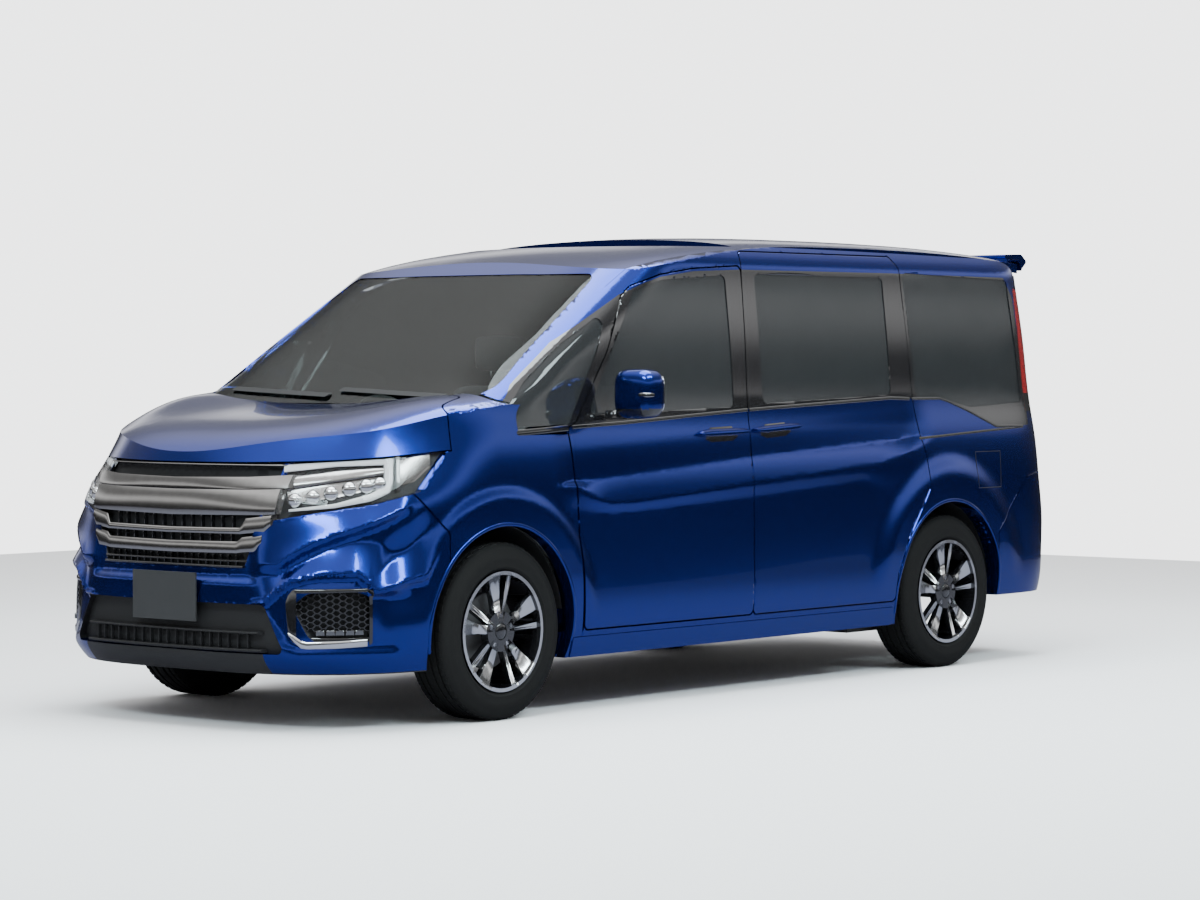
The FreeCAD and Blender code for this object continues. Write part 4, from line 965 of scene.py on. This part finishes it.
for hand, side_name in ((1, "left"), (-1, "right")):
    place = on_side(hand)
    door = "front_door_" + side_name
    built("door_handle_" + side_name,
          [strip(place, [(306, 1029, 1035), (294, 1022, 1044), (240, 1018, 1050), (70, 1022, 1053),
                         (10, 1028, 1050), (-3, 1036, 1044)], 5, 20, 6, 12)], [paint], door)
    built("slide_handle_" + side_name,
          [strip(place, [(-50, 1038, 1046), (-62, 1031, 1052), (-120, 1028, 1058), (-290, 1037, 1067),
                         (-338, 1044, 1066), (-350, 1050, 1058)], 5, 20, 6, 12)], [paint], "body")
    # Gloss black sheet behind the door handle: painted shade in its body-coloured recess.
    built("handle_cup_" + side_name,
          [strip(place, [(262, 1008, 1012), (230, 998, 1056), (90, 1002, 1060), (58, 1016, 1022)],
                 0.6, 0.6, 3)],
          [gloss_black], door)
    # Gloss black sheet behind the slide handle: painted shade in its body-coloured recess.
    built("slide_cup_" + side_name,
          [strip(place, [(-96, 1020, 1024), (-130, 1008, 1064), (-260, 1014, 1070), (-296, 1030, 1036)],
                 0.6, 0.6, 3)], [gloss_black], "body")
    built("door_belt_" + side_name, [strip(place, belt_rows(1062, -22, 9, 5), 1.5, 2.5, 8, 40)],
          [gloss_black], door)
    built("side_belt_" + side_name,
          [strip(place, belt_rows(1556, 1088, 14, 8), 1.5, 2.5, 8, 40),
           strip(place, belt_rows(-34, -1162, 9, 5), 1.5, 2.5, 8, 40),
           strip(place, belt_rows(-1180, -2030, 7, 4), 1.5, 2.0, 8, 40),
           strip(place, [(-1205, 984, 994), (-1600, 1003, 1013), (-2030, 1023, 1033)], 0.8, 1.2, 5, 40)],
          [gloss_black], "body")
    for axle, face_of, first, last in ((FRONT_AXLE, nose_face, -150, 3290),
                                       (REAR_AXLE, side_face, -190, 3190)):
        def on_arch(a, r, off):
            x = axle + r * math.cos(a / 1000)
            z = WHEEL_HIGH + r * math.sin(a / 1000)
            x0, y0, _, out = on_form(x, 840, z, "nose")
            lift = off + face_of(x, y0, z)
            return Vector((x0 + out[0] * lift, hand * (y0 + out[1] * lift), z)) / 1000
        place_name = "front" if axle > 0 else "rear"
        built("arch_lip_" + place_name + "_" + side_name,
              [strip(on_arch, [(first, ARCH_IN, ARCH_OUT), (last, ARCH_IN, ARCH_OUT)], 0.8, 2.2, 24, 60)],
              [paint], "body")
FLAP_FRONT = -1622
FLAP_REAR = -1820
FLAP_LOW = 765
FLAP_HIGH = 925
SEAM = 3
seam_runs = [((FLAP_FRONT, FLAP_REAR), (FLAP_HIGH - SEAM, FLAP_HIGH)),
             ((FLAP_FRONT, FLAP_REAR), (FLAP_LOW, FLAP_LOW + SEAM)),
             ((FLAP_FRONT, FLAP_FRONT - SEAM), (FLAP_LOW, FLAP_HIGH)),
             ((FLAP_REAR + SEAM, FLAP_REAR), (FLAP_LOW, FLAP_HIGH))]
lines = [strip(on_side(1), [(x0, z0, z1), (x1, z0, z1)], 0.5, 0.4, SEAM, 40)
         for (x0, x1), (z0, z1) in seam_runs]
built("fuel_flap_seam", lines, [satin_black], "body")


# Door mirrors: rounded painted housings with a black foot, a slim turn lamp and the mirror glass.
def pad(centre, size, power=5.0, crown=0.0, channels=(), cuts=11):
    """Rounded block in millimetres, crowned on its upper face, with sewn channels across it."""
    bm = bmesh.new()
    bmesh.ops.create_cube(bm, size=2)
    bmesh.ops.subdivide_edges(bm, edges=bm.edges, cuts=cuts, use_grid_fill=True)
    half = Vector(size) / 2
    verts = []
    for v in bm.verts:
        a, b, c = v.co
        level = (abs(a) ** power + abs(b) ** power + abs(c) ** power) ** (1 / power)
        a, b, c = a / level, b / level, c / level
        pull = 1 - 0.035 * (1 - c * c)
        lift = crown * max(c, 0) * (1 - a * a) * (1 - b * b)
        for at in channels:
            lift -= crown * 0.55 * max(c, 0) * math.exp(-((b - at) / 0.06) ** 2)
        verts.append(Vector((a * half.x * pull, b * half.y * pull, c * (half.z - crown) + lift)))
    order = {v: i for i, v in enumerate(bm.verts)}
    faces = [tuple(order[v] for v in f.verts) for f in bm.faces]
    bm.free()
    return [(Vector(centre) + v) / 1000 for v in verts], faces, 0


mirror_glass = finish_of("mirror_glass", (0.80, 0.82, 0.84), (0.84, 0.86, 0.88), 3, (0.0, 0.02), Metallic=1.0)
for hand, side_name in ((1, "left"), (-1, "right")):
    door = "front_door_" + side_name
    shell_at = [v.co * 1000 for v in nodes["mirror_" + side_name].data.vertices if v.co.y * hand > 0.875]
    low_at = Vector([min(v[k] for v in shell_at) for k in range(3)])
    high_at = Vector([max(v[k] for v in shell_at) for k in range(3)])
    middle = (low_at + high_at) / 2
    wide = high_at - low_at
    shell = pad(middle, wide, 3.6, 0, (), 15)
    arm = block((middle.x + 8, hand * 862, low_at.z + 14), (70, 60, 34))
    lamp = pad((high_at.x - wide.x * 0.32, middle.y + hand * wide.y * 0.22, middle.z - 4),
               (wide.x * 0.60, wide.y * 0.54, 24), 4, 0, (), 7)
    glass = pad((low_at.x + 3, middle.y, middle.z), (7, wide.y * 0.80, wide.z * 0.76), 5, 0, (), 7)
    whole = built("mirror_shell_" + side_name,
                  [(*part[:2], index) for index, part in enumerate((shell, arm, lamp, glass))],
                  [paint, gloss_black, reflector, mirror_glass], door, 50, ["mirror_" + side_name])
    for face in whole.data.polygons:
        if face.material_index == 0 and face.center.z * 1000 < low_at.z + wide.z * 0.2:
            face.material_index = 1

# Rear end: moulded red tail lamps with clear lower parts. The tailgate carries a chrome handle bar, a blank
# plate in a thin frame and a wiper, the spoiler a stop lamp, and the bumper reflectors and a grained step.
red_lens = finish_of("red_lens", (0.20, 0.002, 0.004), (0.30, 0.004, 0.006), 60, (0.05, 0.1), Coat_Weight=1.0)
plate_grey = finish_of("plate_grey", (0.020, 0.021, 0.022), (0.026, 0.027, 0.028), 80, (0.4, 0.5))
CLEAR_PART = [(-2500, 900), (-1900, 900), (-1900, 1176), (-2500, 1176)]
tail_lamp = refined("tail_lamps", "screen", lambda x, y, z: 0.0, step=26, across=True,
                    zones=[(CLEAR_PART, 1)])
dressed(tail_lamp, "body", "tail_lamps", "red_lens", red_lens, reflector)


def rear_spot(y, z, off=0.0):
    """Place on the tail at y, standing off millimetres out behind."""
    reach = tail_at(z) + TAIL_START
    width = half_at(z) - 8
    v = min(abs(y) / width, 0.999)
    u = (1 - v ** 5.2) ** (1 / 5.2)
    return Vector((TAIL_START - u * reach - off, y, z)) / 1000


gate = [strip(rear_spot, [(-420, 962, 996), (420, 962, 996)], 2, 12, 6, 40, 0),
        strip(rear_spot, [(-230, 742, 748), (230, 742, 748)], 1, 3, 5, 40, 1),
        strip(rear_spot, [(-230, 742, 940), (-224, 742, 940)], 1, 3, 5, 3, 1),
        strip(rear_spot, [(224, 742, 940), (230, 742, 940)], 1, 3, 5, 3, 1),
        strip(rear_spot, [(-165, 760, 925), (165, 760, 925)], 4, 1, 3, 40, 2),
        strip(rear_spot, [(-40, 1128, 1142), (300, 1150, 1160)], 14, 4, 4, 20, 1)]
wiper_hub = dome(24, 22, 18, 3)
hub_at = rear_spot(-30, 1128, 0)
back_axes = Matrix((Vector((0, 1, 0)), Vector((0, 0, 1)), Vector((-1, 0, 0)))).transposed()
gate.append(([back_axes @ v + hub_at for v in wiper_hub[0]], wiper_hub[1], 1))
built("tailgate_trim", gate, [smoked_chrome, gloss_black, plate_grey], "tailgate")
stop_lamp = block((-2318, 0, 1770), (10, 320, 14))
built("stop_lamp", [stop_lamp], [red_lens], "tailgate")
reflectors = []
for hand in (1, -1):
    here, axes = stands(rear_spot, hand * 560, 470)
    reflectors.append(block(here - axes @ Vector((0, 0, 3)), (130, 34, 8), axes))
built("rear_reflectors", reflectors, [red_lens], "body")
built("rear_bumper_trim", [strip(rear_spot, [(-600, 300, 352), (600, 300, 352)], 1, 3, 6, 40)],
      [grained_black], "body")

# Seats: foam cushions in dark woven cloth, one pad each for base, back and headrest on a plastic plinth.
# Each shape is blown up once by cloth pressure, then gets its sewn channels and is set in every seat.
seat_cloth = finish_of("seat_cloth", (0.06, 0.06, 0.062), (0.10, 0.10, 0.102), 900, (0.8, 0.95), 0.0006)


def finished_mesh(obj):
    graph = bpy.context.evaluated_depsgraph_get()
    return bpy.data.meshes.new_from_object(obj.evaluated_get(graph))


def stuffed(name, size, grain, cap, channels=()):
    """Mesh of a stuffed pad about its middle, size in millimetres; channels are shares of its half width."""
    verts, faces, _ = pad((0, 0, 0), [k - 16 for k in size], 7)
    data = bpy.data.meshes.new(name)
    data.from_pydata([tuple(v) for v in verts], [], faces)
    obj = link(bpy.data.objects.new(name, data))
    grid = obj.modifiers.new("grid", "REMESH")
    grid.mode = "VOXEL"
    grid.voxel_size = grain / 1000
    obj.data = finished_mesh(obj)
    obj.modifiers.clear()
    start = [v.co.copy() for v in obj.data.vertices]
    cloth = obj.modifiers.new("stuffing", "CLOTH")
    cloth.settings.use_pressure = True
    cloth.settings.uniform_pressure_force = 4
    cloth.settings.effector_weights.gravity = 0
    cloth.point_cache.frame_start = 1
    cloth.point_cache.frame_end = 20
    for step in range(1, 21):
        scene.frame_set(step)
    blown = finished_mesh(obj)
    obj.modifiers.clear()
    scene.frame_set(1)
    half = Vector(size) / 2000
    for v, was, now in zip(obj.data.vertices, start, blown.vertices):
        moved = now.co - was
        if moved.length > cap / 1000:
            moved *= cap / 1000 / moved.length
        v.co = [min(half[k], max(-half[k], was[k] + moved[k])) for k in range(3)]
    smooth = obj.modifiers.new("smooth", "SUBSURF")
    smooth.levels = smooth.render_levels = 1
    result = finished_mesh(obj)
    for v in result.vertices:
        for at in channels:
            if v.co.z > 0:
                v.co.z -= 0.012 * math.exp(-((v.co.y * 2000 / size[1] - at) / 0.05) ** 2)
    bpy.data.objects.remove(obj)
    result.shade_smooth()
    result.materials.clear()
    result.materials.append(seat_cloth)
    return result


SEAT_WIDE = 494
BACK_TALL = 746
CHANNELS = (-0.58, 0.58)
seat_base = stuffed("seat_base", (490, SEAT_WIDE, 168), 20, 24, CHANNELS)
seat_back = stuffed("seat_back", (BACK_TALL, SEAT_WIDE, 128), 20, 24, CHANNELS)
seat_head = stuffed("seat_head", (158, 254, 96), 13, 16)
upright = Matrix(((0, 0, 1), (0, 1, 0), (-1, 0, 0)))
for row, x, seat_ys, wide, tall in (("front", 480, (370, -370), SEAT_WIDE, 620),
                                    ("middle", -420, (370, -370), SEAT_WIDE, 620),
                                    ("rear", -1230, (268, -268), 514, 560)):
    for y, side_name in zip(seat_ys, ("left", "right")):
        label = row + "_seat_" + side_name
        broad = Matrix.Diagonal((1, wide / SEAT_WIDE, 1))
        short = Matrix.Diagonal(((tall + 126) / BACK_TALL, wide / SEAT_WIDE, 1))
        for part_name, shape, middle, turned in (
                ("base", seat_base, (x + 3, y, 555), broad),
                ("back", seat_back, (x - 305, y, 510 + (tall + 130) / 2), upright @ short),
                ("headrest", seat_head, (x - 340, y, 730 + tall), upright)):
            data = shape.copy()
            data.transform(Matrix.Translation(Vector(middle) / 1000) @ turned.to_4x4())
            cushion = link(bpy.data.objects.new(label + "_" + part_name, data))
            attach(cushion, "body")
            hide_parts(row + "_seats")
        posts = [block((x - 335, y + k, 712 + tall - 60), (10, 10, 60)) for k in (-40, 40)]
        plinth = [block((x, y, 405), (400, wide - 80, 148), None, 1)]
        built(label + "_frame", posts + plinth, [bright_chrome, grained_black], "body", 35,
              [row + "_seats"])

# Dashboard trim: a hood of moulded soft plastic over the gauges, a dark screen in the middle and four vents
# with rounded corners, all fixed to the dashboard's face.
soft_trim = finish_of("soft_trim", (0.014, 0.014, 0.015), (0.026, 0.026, 0.028), 1200, (0.55, 0.7), 0.0003)
screen_black = finish_of("screen_black", (0.003, 0.003, 0.004), (0.005, 0.005, 0.006), 30, (0.08, 0.14),
                         Coat_Weight=1.0)
dash = [(*pad((1010, -370, 1090), (180, 360, 50), 4, 0)[:2], 0),
        (*pad((884, 0, 975), (16, 260, 150), 6, 0)[:2], 1)]
for y in (-590, -190, 190, 590):
    dash.append((*pad((892, y, 960), (16, 90, 60), 5, 0)[:2], 1))
built("dashboard_trim", dash, [soft_trim, screen_black], "body")

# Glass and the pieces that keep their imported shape: laminated windscreen, dark tempered side glass, and the
# plastic, rubber, cast and pressed steel pieces below and inside. Each takes the finish of its slot.
privacy = finish_of("privacy_glass", (0.030, 0.033, 0.035), (0.034, 0.037, 0.039), 3, (0.0, 0.0),
                    Transmission_Weight=0.5, IOR=1.3, Coat_Weight=0.3, Coat_Roughness=0.0)
clear = finish_of("windscreen_glass", (0.66, 0.72, 0.71), (0.68, 0.74, 0.73), 3, (0.0, 0.0),
                  Transmission_Weight=1.0, IOR=1.02, Coat_Weight=0.30, Coat_Roughness=0.0)
lamp_lens = finish_of("lamp_lens", (0.5, 0.52, 0.54), (0.6, 0.62, 0.64), 60, (0.05, 0.1), Coat_Weight=1.0)
alloy = finish_of("alloy", (0.40, 0.41, 0.42), (0.5, 0.51, 0.52), 200, (0.2, 0.28), Metallic=1.0)
casting = finish_of("casting", (0.10, 0.10, 0.105), (0.18, 0.18, 0.185), 200, (0.5, 0.65), 0.0005,
                    Metallic=0.7)
chassis_coat = finish_of("chassis_coat", (0.012, 0.012, 0.013), (0.03, 0.03, 0.03), 60, (0.5, 0.7), 0.0004)


def wear(node_name, mat):
    """Gives a CAD node's slots this material."""
    data = nodes[node_name].data
    data.materials.clear()
    data.materials.append(mat)


by_slot = {"paint": paint, "dark_glass": privacy, "clear_glass": clear, "red_lens": red_lens,
           "lamp_lens": lamp_lens, "smoked_chrome": smoked_chrome, "black_plastic": grained_black,
           "plate": plate_grey, "tyre_rubber": rubber, "rim_alloy": alloy, "cast_metal": casting,
           "chassis_steel": chassis_coat, "seat_cloth": seat_cloth, "soft_trim": soft_trim}
for part in frame["record"]["subparts"]:
    wear(part["node"], by_slot[part["material_slot"]])

# Floor of the studio: a plain pale sheet under the wheels. Glossy rays see it in a darker tone, as a black
# card beside the car would give, so the lower halves of the doors stay deep in colour.
floor_mesh = bpy.data.meshes.new("floor")
floor_mesh.from_pydata([(-9, -9, 0), (8, -9, 0), (8, 7, 0), (-9, 7, 0)], [], [(0, 1, 2, 3)])
floor = link(bpy.data.objects.new("floor", floor_mesh))
floor_mat = finish_of("pale_floor", (0.90, 0.90, 0.91), (0.92, 0.92, 0.93), 0.5, (0.8, 0.9))
floor_tree = floor_mat.node_tree
floor_path = floor_tree.nodes.new("ShaderNodeLightPath")
floor_mix = floor_tree.nodes.new("ShaderNodeMix")
floor_mix.data_type = "RGBA"
floor_mix.inputs[7].default_value = (0.16, 0.16, 0.20, 1)
tone = floor_tree.nodes["Principled BSDF"].inputs["Base Color"]
floor_tree.links.new(floor_path.outputs["Is Glossy Ray"], floor_mix.inputs[0])
floor_tree.links.new(tone.links[0].from_socket, floor_mix.inputs[6])
floor_tree.links.new(floor_mix.outputs[2], tone)
floor_mesh.materials.append(floor_mat)
